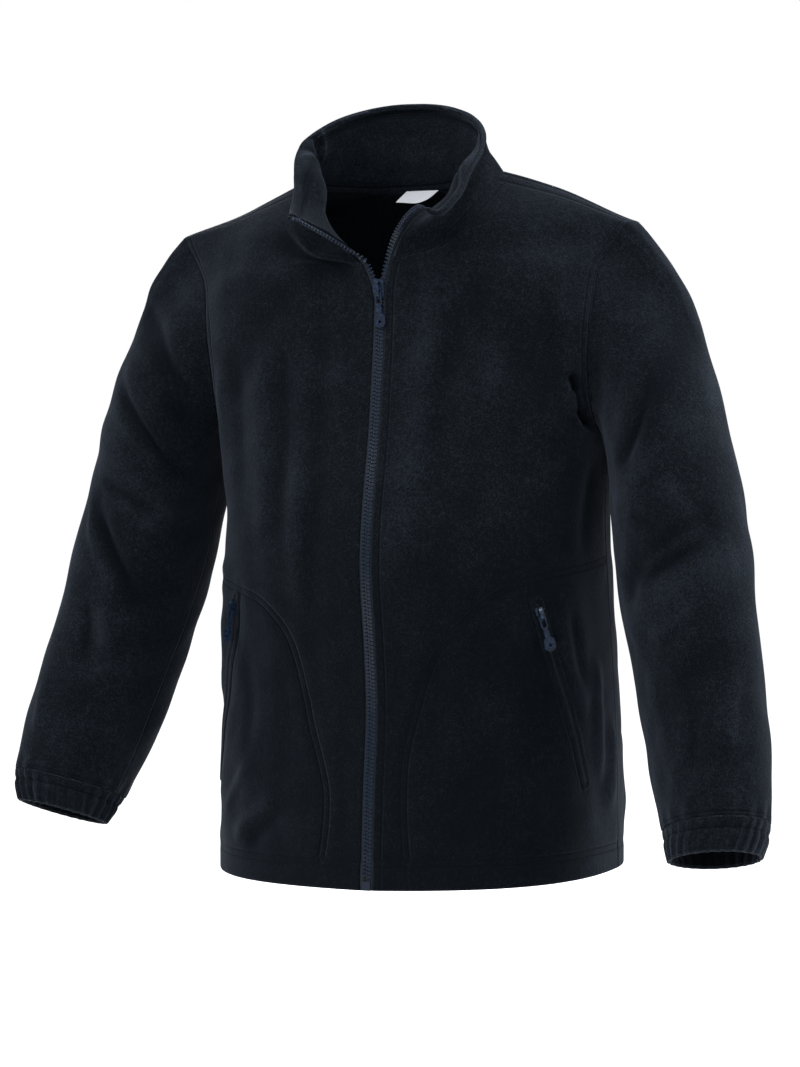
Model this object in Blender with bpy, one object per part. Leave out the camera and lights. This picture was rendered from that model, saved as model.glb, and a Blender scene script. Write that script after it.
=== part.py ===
"""Fleece zip jacket, filled out as when it is worn, with nobody in it.

Frame: metres, +Z up. The fronts face -Y and the wearer's left is +X. The origin is the
middle of the neck opening, at the height of the shoulder seam's highest point.
Every cloth piece is one wall: a sheet of points worked out from the tables below, given
its thickness inwards along the sheet's normals, with a hairline between pieces at seams.
"""
import math
from collections import namedtuple

import bmesh
import bpy
import numpy as np
from mathutils import Vector
from mathutils.geometry import tessellate_polygon

# ---------------------------------------------------------------- colours, linear
NAVY_FLEECE = (0.008, 0.012, 0.020)
NAVY_TAPE = (0.006, 0.009, 0.016)
BLUE_PLASTIC = (0.017, 0.032, 0.061)
BLUE_METAL = (0.060, 0.080, 0.110)
WHITE_WEAVE = (0.80, 0.80, 0.78)

# ---------------------------------------------------------------- driving sizes
FLEECE = 0.0025                 # thickness of one layer of fleece
HEM_FLEECE = 0.0045             # the turned-up hem is two layers
HEM_DEPTH = 0.025
COLLAR_FLEECE = 0.0046          # the collar is folded double
CUFF_FLEECE = 0.0040
SEAM_GAP = 0.0003               # hairline between two sewn pieces
TRIM_LIFT = 0.0004              # what lies on a panel stands this far off it

TAPE_WIDTH = 0.0015             # the front zip's tape shows as a narrow strip
TAPE_THICK = 0.0010
TEETH_WIDTH = 0.00395           # one row of moulded teeth
TEETH_THICK = 0.0030
TEETH_CHAMFER = 0.0005
ZIP_FLAT_BELOW = -0.104         # below this the two tooth rows lie in one plane
ZIP_TURNED_ABOVE = -0.080       # above this each row lies as its fleece edge does
BOX_HEIGHT = 0.0090             # the bottom box that holds the zip's pin
BOX_WIDTH = 0.0084
BOX_THICK = 0.0042
BOX_GAP = 0.0008                # from the box to the ends of the teeth and tapes
SLIDER_HEIGHT = -0.115          # z of the front slider's middle

WELT_FROM_MIDDLE = 0.0038       # pocket: from its middle line to a lip's middle
WELT_WIDTH = 0.0028
WELT_THICK = 0.0015
POCKET_TEETH_WIDTH = 0.0040
POCKET_TEETH_THICK = 0.0010
POCKET_SECTION = 0.0075         # from one section of a lip to the next
LIP_CHAMFER = 0.0005
POCKET_SLIDER_DOWN = 0.0105     # from the top of the pocket's slot to its slider's middle

NECK_SWAY = -0.006              # the neck and shoulders sit this far to the wearer's right
NECK_SWAY_FROM = -0.130         # height where that sway starts
NECK_SWAY_FULL = -0.060
HEM_SLOPE = 0.030               # the hem rises this much for each metre towards +X
HEM_SLOPE_FROM = -0.420
HEM_SLOPE_FULL = -0.690
SHOULDER_SLOPE = 0.035          # and so do the shoulders, between the collar and the tips
SHOULDER_SLOPE_IN = 0.160
SHOULDER_SLOPE_OUT = 0.240
ARM_SLOPE = -0.014              # the wearer's left forearm hangs lower than the right one
ARM_SLOPE_FROM = -0.380
ARM_SLOPE_FULL = -0.640
ARM_SWAY = -0.005               # both upper arms sit this far to the wearer's right
HEM_SWAY = -0.0025              # and so do the sides of the hem

UNDERARM = 0.62                 # v of the underarm on the body's rows, hem 0, shoulder 1
UNDERARM_TURN = 0.66            # v where the armhole has turned upwards
FRONT_NECK = 0.865              # v where the centre front meets the collar
BACK_NECK = 0.955               # v where the centre back meets the collar

Edge = namedtuple("Edge", "v x y z")

CENTRE_FRONT = [
    Edge(0.000, 0.0062, -0.0970, -0.697),
    Edge(0.120, 0.0062, -0.0915, -0.612),
    Edge(0.260, 0.0062, -0.0835, -0.514),
    Edge(0.330, 0.0062, -0.0885, -0.465),
    Edge(0.455, 0.0062, -0.0996, -0.378),
    Edge(0.540, 0.0062, -0.0915, -0.320),
    Edge(0.620, 0.0062, -0.0780, -0.262),
    Edge(0.700, 0.0062, -0.0695, -0.208),
    Edge(0.770, 0.0062, -0.0630, -0.160),
    Edge(0.800, 0.0062, -0.0614, -0.138),
    Edge(0.825, 0.0064, -0.0603, -0.120),
    Edge(0.865, 0.0148, -0.0610, -0.090),
]
FRONT_NECKLINE = [
    Edge(0.865, 0.0148, -0.0610, -0.0900),
    Edge(0.885, 0.0300, -0.0615, -0.0845),
    Edge(0.910, 0.0600, -0.0595, -0.0775),
    Edge(0.935, 0.0815, -0.0530, -0.0600),
    Edge(0.960, 0.0975, -0.0400, -0.0395),
    Edge(0.980, 0.1075, -0.0170, -0.0175),
    Edge(1.000, 0.1115, 0.0060, 0.0000),
]
CENTRE_BACK = [
    Edge(0.000, 0.0, 0.2160, -0.702),
    Edge(0.120, 0.0, 0.2070, -0.612),
    Edge(0.260, 0.0, 0.1970, -0.514),
    Edge(0.400, 0.0, 0.1880, -0.416),
    Edge(0.540, 0.0, 0.1820, -0.318),
    Edge(0.620, 0.0, 0.1795, -0.262),
    Edge(0.720, 0.0, 0.1710, -0.190),
    Edge(0.800, 0.0, 0.1520, -0.130),
    Edge(0.870, 0.0, 0.1190, -0.075),
    Edge(0.930, 0.0, 0.0830, -0.033),
    Edge(0.955, 0.0, 0.0555, -0.007),
]
BACK_NECKLINE = [
    Edge(0.955, 0.0000, 0.0555, -0.0070),
    Edge(0.967, 0.0330, 0.0535, -0.0065),
    Edge(0.978, 0.0660, 0.0440, -0.0050),
    Edge(0.989, 0.0940, 0.0270, -0.0025),
    Edge(1.000, 0.1115, 0.0060, 0.0000),
]
# The side seam, and above the underarm the line that the rows would run on to if the
# sleeve's hole weren't cut out of them.
SIDE_LINE = [
    Edge(0.000, 0.2100, 0.058, -0.6930),
    Edge(0.120, 0.2095, 0.055, -0.6110),
    Edge(0.260, 0.2065, 0.050, -0.5140),
    Edge(0.400, 0.2015, 0.044, -0.4160),
    Edge(0.540, 0.2000, 0.038, -0.3180),
    Edge(0.620, 0.2060, 0.032, -0.2620),
    Edge(0.700, 0.2190, 0.031, -0.2080),
    Edge(0.770, 0.2320, 0.030, -0.1600),
    Edge(0.830, 0.2390, 0.029, -0.1220),
    Edge(0.900, 0.2425, 0.027, -0.0850),
    Edge(0.960, 0.2435, 0.026, -0.0590),
    Edge(1.000, 0.2430, 0.025, -0.0490),
]

# The armhole: how far along each row, of its whole length, the sleeve's seam lies, and how
# far before the side line (fronts) or behind it (back) the row's far end aims.
Cut = namedtuple("Cut", "v front back aim_front aim_back")

ARMHOLE = [
    Cut(0.620, 1.000, 1.000, 0.000, 0.000),
    Cut(0.640, 0.885, 0.900, 0.000, 0.000),
    Cut(0.670, 0.825, 0.842, 0.000, 0.000),
    Cut(0.700, 0.795, 0.810, 0.000, 0.000),
    Cut(0.745, 0.768, 0.775, 0.000, 0.000),
    Cut(0.790, 0.765, 0.768, 0.001, 0.003),
    Cut(0.830, 0.785, 0.785, 0.004, 0.010),
    Cut(0.870, 0.823, 0.830, 0.009, 0.021),
    Cut(0.915, 0.880, 0.892, 0.015, 0.030),
    Cut(0.960, 0.945, 0.952, 0.018, 0.028),
    Cut(0.985, 0.980, 0.984, 0.013, 0.017),
    Cut(1.000, 1.000, 1.000, 0.000, 0.000),
]

# The back's upper rows slope down to the side: the side line's v that each one runs to.
Slope = namedtuple("Slope", "v side")

BACK_SLOPE = [
    Slope(0.620, 0.620),
    Slope(0.709, 0.709),
    Slope(0.807, 0.800),
    Slope(0.906, 0.872),
    Slope(0.955, 0.908),
    Slope(0.982, 0.950),
    Slope(1.000, 1.000),
]

# How each row of a panel leaves its inner edge and meets its outer edge, in degrees seen
# from above (0 is straight out along X), how full it is between them, and the share of its
# fall that it has made by its first third.
Spread = namedtuple("Spread", "v leave meet full early")

FRONT_SPREAD = [
    Spread(0.000, 4.0, 86.0, 0.62, 0.33),
    Spread(0.260, 6.0, 86.0, 0.62, 0.33),
    Spread(0.455, 2.0, 88.0, 0.62, 0.33),
    Spread(0.620, 0.0, 86.0, 0.62, 0.33),
    Spread(0.790, -2.0, 74.0, 0.60, 0.33),
    Spread(0.865, 0.0, 50.0, 0.52, 0.33),
    Spread(0.930, 5.0, 24.0, 0.42, 0.33),
    Spread(1.000, 8.0, 8.0, 0.36, 0.33),
]
BACK_SPREAD = [
    Spread(0.000, 0.0, -88.0, 0.62, 0.33),
    Spread(0.400, 0.0, -88.0, 0.62, 0.33),
    Spread(0.620, 0.0, -86.0, 0.60, 0.33),
    Spread(0.790, 0.0, -74.0, 0.56, 0.33),
    Spread(0.870, -2.0, -52.0, 0.50, 0.25),
    Spread(0.930, -4.0, -34.0, 0.46, 0.10),
    Spread(0.970, -2.0, -12.0, 0.42, 0.05),
    Spread(1.000, 8.0, 8.0, 0.36, 0.33),
]

# Rings down the sleeve. The outer and under points lie in the XZ plane, the ring is
# "deep" to the front and back of them, tips "fore" degrees forward and its front is
# pushed "skew" outwards.
Ring = namedtuple("Ring", "along x_outer z_outer x_under z_under y deep fore skew")

SLEEVE = [
    Ring(0.000, 0.2430, -0.0490, 0.2060, -0.2620, 0.030, 0.083, 0.0, 0.000),
    Ring(0.031, 0.2795, -0.0945, 0.2085, -0.2700, 0.030, 0.083, 0.0, 0.002),
    Ring(0.061, 0.2985, -0.1390, 0.2100, -0.2850, 0.030, 0.081, 2.0, 0.004),
    Ring(0.105, 0.3160, -0.1990, 0.2120, -0.3100, 0.026, 0.078, 4.0, 0.006),
    Ring(0.170, 0.3380, -0.2865, 0.2155, -0.3500, 0.016, 0.073, 8.0, 0.009),
    Ring(0.229, 0.3535, -0.3580, 0.2210, -0.3950, 0.004, 0.069, 11.0, 0.011),
    Ring(0.281, 0.3615, -0.4170, 0.2315, -0.4400, -0.007, 0.065, 13.0, 0.013),
    Ring(0.352, 0.3740, -0.4920, 0.2490, -0.5010, -0.024, 0.061, 16.0, 0.016),
    Ring(0.429, 0.3860, -0.5650, 0.2700, -0.5780, -0.049, 0.057, 18.0, 0.016),
    Ring(0.476, 0.3890, -0.6100, 0.2860, -0.6240, -0.067, 0.052, 19.0, 0.012),
]
CUFF = [
    Ring(0.476, 0.3890, -0.6100, 0.2860, -0.6240, -0.067, 0.052, 19.0, 0.012),
    Ring(0.490, 0.3880, -0.6240, 0.2900, -0.6370, -0.073, 0.048, 19.0, 0.008),
    Ring(0.505, 0.3830, -0.6400, 0.2960, -0.6520, -0.080, 0.042, 19.0, 0.004),
]
SLEEVE_HEAD = 0.105             # the armhole's own shape has died out this far down
CUFF_GATHERS = 15
CUFF_GATHER_HEIGHT = 0.0016

# The collar's folded top edge from centre back (0) to the zip corner (1), and how far the
# middle of its height is pulled in towards the neck and up, which makes it roll outwards.
Rim = namedtuple("Rim", "t x y z pull_in pull_up")

COLLAR_LEFT = [
    Rim(0.00, 0.0000, 0.0515, 0.0806, 0.000, 0.000),
    Rim(0.15, 0.0408, 0.0450, 0.0756, 0.000, 0.000),
    Rim(0.26, 0.0668, 0.0320, 0.0660, 0.000, 0.000),
    Rim(0.42, 0.0918, 0.0030, 0.0435, 0.004, 0.002),
    Rim(0.57, 0.1013, -0.0280, 0.0178, 0.012, 0.008),
    Rim(0.71, 0.1003, -0.0580, -0.0077, 0.022, 0.018),
    Rim(0.85, 0.0969, -0.0850, -0.0352, 0.024, 0.028),
    Rim(0.97, 0.0796, -0.1070, -0.0518, 0.018, 0.030),
    Rim(1.00, 0.0723, -0.1100, -0.0470, 0.016, 0.027),
]
COLLAR_RIGHT = [
    Rim(0.00, 0.0000, 0.0515, 0.0806, 0.000, 0.000),
    Rim(0.13, 0.0400, 0.0460, 0.0780, 0.000, 0.000),
    Rim(0.29, 0.0815, 0.0250, 0.0630, 0.000, 0.000),
    Rim(0.42, 0.1005, 0.0000, 0.0420, 0.008, 0.000),
    Rim(0.53, 0.1007, -0.0200, 0.0208, 0.020, 0.004),
    Rim(0.63, 0.0938, -0.0400, 0.0030, 0.034, 0.008),
    Rim(0.73, 0.0862, -0.0600, -0.0142, 0.046, 0.010),
    Rim(0.85, 0.0805, -0.0820, -0.0330, 0.046, 0.010),
    Rim(1.00, 0.0719, -0.1080, -0.0440, 0.026, 0.003),
]

# The largest folds: a soft ridge (height above 0) or trough along a straight line. On the
# sleeves "down" is along the sleeve and "round" the angle from the underarm, on the fronts
# they are the height v and the distance from the zip.
Fold = namedtuple("Fold", "down_a round_a down_b round_b height width")

SLEEVE_FOLDS_LEFT = [
    Fold(0.070, 2.80, 0.110, 1.10, -0.0035, 0.016),
    Fold(0.120, 2.60, 0.160, 0.90, 0.0030, 0.018),
    Fold(0.215, 2.10, 0.250, 0.80, -0.0045, 0.015),
    Fold(0.250, 2.30, 0.290, 0.60, 0.0040, 0.016),
    Fold(0.250, 4.00, 0.230, 5.40, -0.0040, 0.015),
    Fold(0.330, 1.90, 0.380, 0.90, -0.0030, 0.016),
]
SLEEVE_FOLDS_RIGHT = [
    Fold(0.050, 2.70, 0.060, 1.10, -0.0040, 0.016),
    Fold(0.095, 2.40, 0.122, 0.85, -0.0035, 0.016),
    Fold(0.140, 2.50, 0.180, 0.90, 0.0030, 0.018),
    Fold(0.205, 2.00, 0.280, 0.95, -0.0045, 0.015),
    Fold(0.240, 4.00, 0.225, 5.30, -0.0040, 0.015),
    Fold(0.295, 1.40, 0.363, 1.00, 0.0035, 0.016),
]
FRONT_FOLDS = [
    Fold(0.430, 0.196, 0.270, 0.212, 0.0030, 0.016),
    Fold(0.250, 0.236, 0.100, 0.246, -0.0030, 0.018),
    Fold(0.830, 0.100, 0.700, 0.150, -0.0030, 0.020),
]
BACK_FOLDS = [
    Fold(0.840, 0.110, 0.700, 0.150, -0.0035, 0.020),
    Fold(0.420, 0.060, 0.330, 0.150, -0.0035, 0.022),
    Fold(0.260, 0.090, 0.060, 0.100, 0.0030, 0.022),
]
SLEEVE_RADIUS = 0.075           # turns an angle round a sleeve into a length
BODY_LENGTH = 0.70              # and a height v into one

# Hand pockets: the slot's middle line on the front, top to bottom.
Spot = namedtuple("Spot", "v across")

POCKET_LINE = [Spot(0.396, 0.1608), Spot(0.329, 0.1715), Spot(0.230, 0.1935), Spot(0.136, 0.2175)]

# Zip pulls: half their width at each distance below the hinge.
Half = namedtuple("Half", "down half")

PULL = [
    Half(-0.0007, 0.0034), Half(0.0100, 0.0034), Half(0.0124, 0.0024), Half(0.0144, 0.0022),
    Half(0.0150, 0.0029), Half(0.0162, 0.0029), Half(0.0168, 0.0023), Half(0.0174, 0.0029),
    Half(0.0186, 0.0029), Half(0.0192, 0.0023), Half(0.0204, 0.0026), Half(0.0220, 0.0046),
    Half(0.0245, 0.0056), Half(0.0290, 0.00575), Half(0.0320, 0.0049), Half(0.0338, 0.0030),
    Half(0.0345, 0.0010),
]
PULL_THICK = 0.0015
PULL_LOOP = (0.0006, 0.0105, 0.0020)    # the loop's hole: from, to, half its width
PULL_HOLE_DOWN = 0.0285
PULL_HOLE_RADIUS = 0.0016
PULL_HOLE_SIDES = 12

# Sliders: half the plate's width, half its length, the height of the plate's underside over
# the teeth's middle, its thickness; the arch over it from its low foot to its high foot and
# its top; the pull's hinge.
Slider = namedtuple("Slider", "half_width half_length rise plate low high top hinge_at hinge_rise")

FRONT_SLIDER = Slider(0.00585, 0.0100, 0.0023, 0.0012, -0.0072, 0.0080, 0.0075, -0.0035, 0.0052)
POCKET_SLIDER = Slider(0.0040, 0.0068, 0.0023, 0.0011, -0.0056, 0.0058, 0.0073, -0.0025, 0.0050)
ARCH_THICK = 0.0012
ARCH_CORNER = 0.0018
ARCH_HALF_WIDTH = 0.0015
WEDGE = [(-0.0009, 0.0030), (0.0009, 0.0030), (0.0026, 0.0092), (-0.0026, 0.0092)]

# Neck label: rows of (x left, x right, y, z), hanging forward from the back neck seam.
LABEL = [(-0.0145, 0.0200, 0.0521, -0.0088), (-0.0145, 0.0200, 0.0370, -0.0155),
         (-0.0145, 0.0200, 0.0210, -0.0240)]
LABEL_THICK = 0.0009

# ---------------------------------------------------------------- mesh fineness
BODY_ROWS = 12                  # rows from the hem to the underarm
FRONT_ROWS = (BODY_ROWS, 2, 6, 5)   # then to the armhole's turn, the neck, the shoulder
BACK_ROWS = (BODY_ROWS, 2, 6, 5)
HALF_COLUMNS = 10
SLEEVE_RINGS = 26
CUFF_RINGS = 3
CUFF_POINTS_PER_SLEEVE_POINT = 3
COLLAR_ROWS = 6


# ---------------------------------------------------------------- curves and tables
def smooth(table, at):
    """Values of a table's columns at the places `at`, on a smooth curve through its rows."""
    data = np.array(table, dtype=float)
    knots = data[:, 0]
    values = data[:, 1:]
    slopes = np.gradient(values, knots, axis=0, edge_order=2)
    at = np.atleast_1d(np.asarray(at, dtype=float))
    low = np.clip(np.searchsorted(knots, at, side="right") - 1, 0, len(knots) - 2)
    span = knots[low + 1] - knots[low]
    s = ((at - knots[low]) / span)[:, None]
    span = span[:, None]
    return (
        (2 * s**3 - 3 * s**2 + 1) * values[low]
        + (s**3 - 2 * s**2 + s) * span * slopes[low]
        + (3 * s**2 - 2 * s**3) * values[low + 1]
        + (s**3 - s**2) * span * slopes[low + 1]
    )


def ease(value, start, full):
    """0 before start, 1 past full, smooth between."""
    s = np.clip((value - start) / (full - start), 0.0, 1.0)
    return s * s * (3.0 - 2.0 * s)


def unit(vectors):
    length = np.linalg.norm(vectors, axis=-1, keepdims=True)
    return vectors / np.maximum(length, 1e-12)


def spaced(points, count, share=1.0):
    """The first share of the polyline again, as count + 1 points equally far apart."""
    steps = np.linalg.norm(np.diff(points, axis=0), axis=1)
    length = np.concatenate([[0.0], np.cumsum(steps)])
    wanted = np.linspace(0.0, length[-1] * share, count + 1)
    return np.column_stack([np.interp(wanted, length, points[:, k]) for k in range(3)])


def settle(points):
    """The garment's small leanings, which every cloth point and every trim shares."""
    points = np.array(points, dtype=float)
    x, height = points[..., 0].copy(), points[..., 2].copy()
    upper = ease(height, NECK_SWAY_FROM, NECK_SWAY_FULL)
    between = 1.0 - ease(np.abs(x), SHOULDER_SLOPE_IN, SHOULDER_SLOPE_OUT)
    under_collar = 1.0 - ease(height, -0.010, 0.030)
    points[..., 0] += NECK_SWAY * upper
    points[..., 2] += SHOULDER_SLOPE * x * upper * between * under_collar
    hem = ease(height, HEM_SLOPE_FROM, HEM_SLOPE_FULL)
    points[..., 0] += HEM_SWAY * hem * ease(np.abs(x), 0.0, 0.15)
    points[..., 2] += HEM_SLOPE * x * hem
    return points


def settle_arm(points):
    """The sleeves' own leaning, which fades out above the elbow."""
    points = np.array(points, dtype=float)
    lower = ease(points[..., 2], ARM_SLOPE_FROM, ARM_SLOPE_FULL)
    head = settle(points)
    high = ease(points[..., 2], HEM_SLOPE_FROM, HEM_SLOPE_FROM + 0.1)[..., None]
    settled = points + (head - points) * high
    outer = ease(np.abs(points[..., 0]), 0.245, 0.290)
    settled[..., 0] += ARM_SWAY * outer * ease(points[..., 2], -0.330, -0.160)
    settled[..., 2] += ARM_SLOPE * points[..., 0] * lower
    return settled


def folded(grid, down, around, folds, fade, sign=1.0):
    """A grid of points pushed outwards along its own normals by soft folds."""
    along_rows = np.gradient(grid, axis=1)
    along_columns = np.gradient(grid, axis=0)
    normals = unit(np.cross(along_rows, along_columns)) * sign
    push = np.zeros(grid.shape[:2])
    for fold in folds:
        start = np.array([fold.down_a, fold.round_a])
        way = np.array([fold.down_b, fold.round_b]) - start
        place = np.stack([down, around], axis=-1) - start
        share = np.clip((place @ way) / (way @ way), 0.0, 1.0)
        off = np.linalg.norm(place - share[..., None] * way, axis=-1)
        push += fold.height * np.exp(-((off / fold.width) ** 2))
    return grid + normals * (push * fade)[..., None]


def sleeve_folded(sleeve, angles, folds):
    """The sleeve with its folds, which die out at both seams."""
    rows = np.linspace(0.0, SLEEVE[-1].along, len(sleeve))
    down = np.broadcast_to(rows[:, None], sleeve.shape[:2])
    around = np.broadcast_to(angles[None, :] * SLEEVE_RADIUS, sleeve.shape[:2])
    fade = ease(down, 0.015, 0.050) * (1.0 - ease(down, 0.430, 0.470))
    scaled = [fold._replace(round_a=fold.round_a * SLEEVE_RADIUS,
                            round_b=fold.round_b * SLEEVE_RADIUS) for fold in folds]
    wrapped = np.concatenate([sleeve[:, -1:], sleeve, sleeve[:, :1]], axis=1)
    wide = [np.concatenate([a[:, -1:], a, a[:, :1]], axis=1) for a in (down, around, fade)]
    return folded(wrapped, wide[0], wide[1], scaled, wide[2], sign=-1.0)[:, 1:-1]


def panel_folded(panel, heights, folds, sign):
    """A half panel with its folds, which die out at its edges."""
    steps = np.linalg.norm(np.diff(panel, axis=1), axis=2)
    across = np.concatenate([np.zeros((len(panel), 1)), np.cumsum(steps, axis=1)], axis=1)
    share = across / across[:, -1:]
    heights = np.array(heights)[:, None]
    down = np.broadcast_to(heights * BODY_LENGTH, across.shape)
    fade = ease(share, 0.10, 0.25) * (1.0 - ease(share, 0.85, 0.99))
    fade = fade * ease(heights, 0.0, 0.08) * (1.0 - ease(heights, 0.84, 0.90))
    scaled = [fold._replace(down_a=fold.down_a * BODY_LENGTH,
                            down_b=fold.down_b * BODY_LENGTH) for fold in folds]
    return folded(panel, down, across, scaled, fade, sign)


# ---------------------------------------------------------------- body panels
def panel_row(inner, outer, spread, cut, columns):
    """One row of a panel, from its inner edge point to where the armhole cuts it off."""
    leave, meet, full, early = spread
    way_out = np.array([math.cos(math.radians(leave)), math.sin(math.radians(leave)), 0.0])
    way_in = np.array([math.cos(math.radians(meet)), math.sin(math.radians(meet)), 0.0])
    chord = outer - inner
    rise = np.array([0.0, 0.0, chord[2]])
    first = inner + way_out * full * abs(chord @ way_out) + rise * early
    second = outer - way_in * full * abs(chord @ way_in) - rise / 3.0
    s = np.linspace(0.0, 1.0, 61)[:, None]
    curve = (
        (1 - s) ** 3 * inner
        + 3 * s * (1 - s) ** 2 * first
        + 3 * s**2 * (1 - s) * second
        + s**3 * outer
    )
    return spaced(curve, columns, cut)


def row_heights(neck_at, row_counts):
    """The rows' v from the hem to the shoulder, so that seams fall on rows."""
    stops = [0.0, UNDERARM, UNDERARM_TURN, neck_at, 1.0]
    heights = [0.0]
    for low, high, count in zip(stops, stops[1:], row_counts):
        heights.extend(np.linspace(low, high, count + 1)[1:])
    return heights


def panel_grid(middle, neckline, spread, slope, cut_column, neck_at, row_counts):
    """Rows of a half panel on the wearer's left, from the hem to the shoulder seam."""
    rows = []
    for v in row_heights(neck_at, row_counts):
        inner = smooth(middle if v <= neck_at else neckline, v)[0]
        side = smooth(slope, v)[0][0] if slope and v > UNDERARM else v
        outer = smooth(SIDE_LINE, side)[0]
        armhole = smooth(ARMHOLE, side)[0]
        cut = 1.0
        if v > UNDERARM:
            cut = armhole[cut_column]
            outer[1] += armhole[3] if cut_column else -armhole[2]
        rows.append(panel_row(inner, outer, smooth(spread, v)[0], cut, HALF_COLUMNS))
    return np.array(rows)


def front_grid():
    return panel_grid(
        CENTRE_FRONT, FRONT_NECKLINE, FRONT_SPREAD, None, 0, FRONT_NECK, FRONT_ROWS
    )


def back_grid():
    return panel_grid(
        CENTRE_BACK, BACK_NECKLINE, BACK_SPREAD, BACK_SLOPE, 1, BACK_NECK, BACK_ROWS
    )


def mirrored(points):
    return points * np.array([-1.0, 1.0, 1.0])


# ---------------------------------------------------------------- sleeves
def ring_frame(ring):
    """Centre of a sleeve ring, and its half vectors to the outer side and to the front."""
    x_outer, z_outer, x_under, z_under, y, deep, fore, skew = ring
    outer = np.array([x_outer, y, z_outer])
    under = np.array([x_under, y, z_under])
    centre = (outer + under) / 2.0
    reach = (outer - under) / 2.0
    across = unit(reach)
    down = np.array([across[2], 0.0, -across[0]])
    tip = math.radians(fore)
    front = np.array([0.0, -math.cos(tip), 0.0]) - down * math.sin(tip)
    down = down * math.cos(tip) + np.array([0.0, -math.sin(tip), 0.0])
    return centre, reach, front * deep + across * skew, down


def tube_ring(table, along, angles):
    """Points of one ring; angle 0 is the underarm, a quarter turn on is the front."""
    centre, reach, front, _ = ring_frame(smooth(table, along)[0])
    turn = np.asarray(angles)[:, None]
    return centre - np.cos(turn) * reach + np.sin(turn) * front


def armhole_loop(front, back):
    """The armhole's points from the underarm up the front and down the back."""
    front_edge = front[BODY_ROWS:, -1]
    back_edge = back[BODY_ROWS:, -1]
    loop = np.concatenate([front_edge, back_edge[-2:0:-1]])
    rising = np.linalg.norm(np.diff(front_edge, axis=0), axis=1).cumsum()
    falling = np.linalg.norm(np.diff(back_edge[::-1], axis=0), axis=1).cumsum()
    angles = np.concatenate(
        [[0.0], math.pi * rising / rising[-1], math.pi + math.pi * falling[:-1] / falling[-1]]
    )
    return loop, angles


def sleeve_grid(loop, angles):
    """Rings from the armhole to the cuff seam."""
    start = tube_ring(SLEEVE, 0.0, angles)
    rows = []
    for along in SLEEVE[-1].along * np.linspace(0.0, 1.0, SLEEVE_RINGS + 1):
        share = 1.0 - ease(along, 0.0, SLEEVE_HEAD)
        rows.append(tube_ring(SLEEVE, along, angles) + share * (loop - start))
    return np.array(rows)


def cuff_grid(angles):
    """Rings of the cuff, gathered all round by its elastic."""
    closed = np.concatenate([angles, [2.0 * math.pi]])
    steps = np.arange(len(angles) * CUFF_POINTS_PER_SLEEVE_POINT) / CUFF_POINTS_PER_SLEEVE_POINT
    fine = np.interp(steps, np.arange(len(closed)), closed)
    first, last = CUFF[0].along, CUFF[-1].along
    rows = []
    for along in np.linspace(first, last, CUFF_RINGS + 1):
        ring = tube_ring(CUFF, along, fine)
        centre = ring_frame(smooth(CUFF, along)[0])[0]
        swell = CUFF_GATHER_HEIGHT * ease(along, first, first + 0.6 * (last - first))
        wave = swell * np.cos(CUFF_GATHERS * fine + 0.7 * np.sin(2.0 * fine))
        rows.append(ring + unit(ring - centre) * wave[:, None])
    return np.array(rows)


# ---------------------------------------------------------------- collar
def neck_seam(front, back):
    """The left half of the neck seam, from centre back to the zip."""
    back_neck = sum(BACK_ROWS[:-1])
    front_neck = sum(FRONT_ROWS[:-1])
    return np.concatenate([back[back_neck:, 0], front[front_neck:-1, 0][::-1]])


def collar_half(seam, rim_table):
    """Columns of half a collar, each from the seam to the folded top edge."""
    steps = np.linalg.norm(np.diff(seam, axis=0), axis=1)
    t = np.concatenate([[0.0], np.cumsum(steps)]) / steps.sum()
    rim = smooth(rim_table, t)
    top = rim[:, :3]
    to_neck = unit(seam * np.array([-1.0, -1.0, 0.0]))
    pull = to_neck * rim[:, 3:4] + np.array([0.0, 0.0, 1.0]) * rim[:, 4:5]
    bend = (seam + top) / 2.0 + pull
    rows = []
    for w in np.linspace(0.0, 1.0, COLLAR_ROWS + 1):
        rows.append((1 - w) ** 2 * seam + 2 * w * (1 - w) * bend + w**2 * top)
    return np.array(rows)


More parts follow.
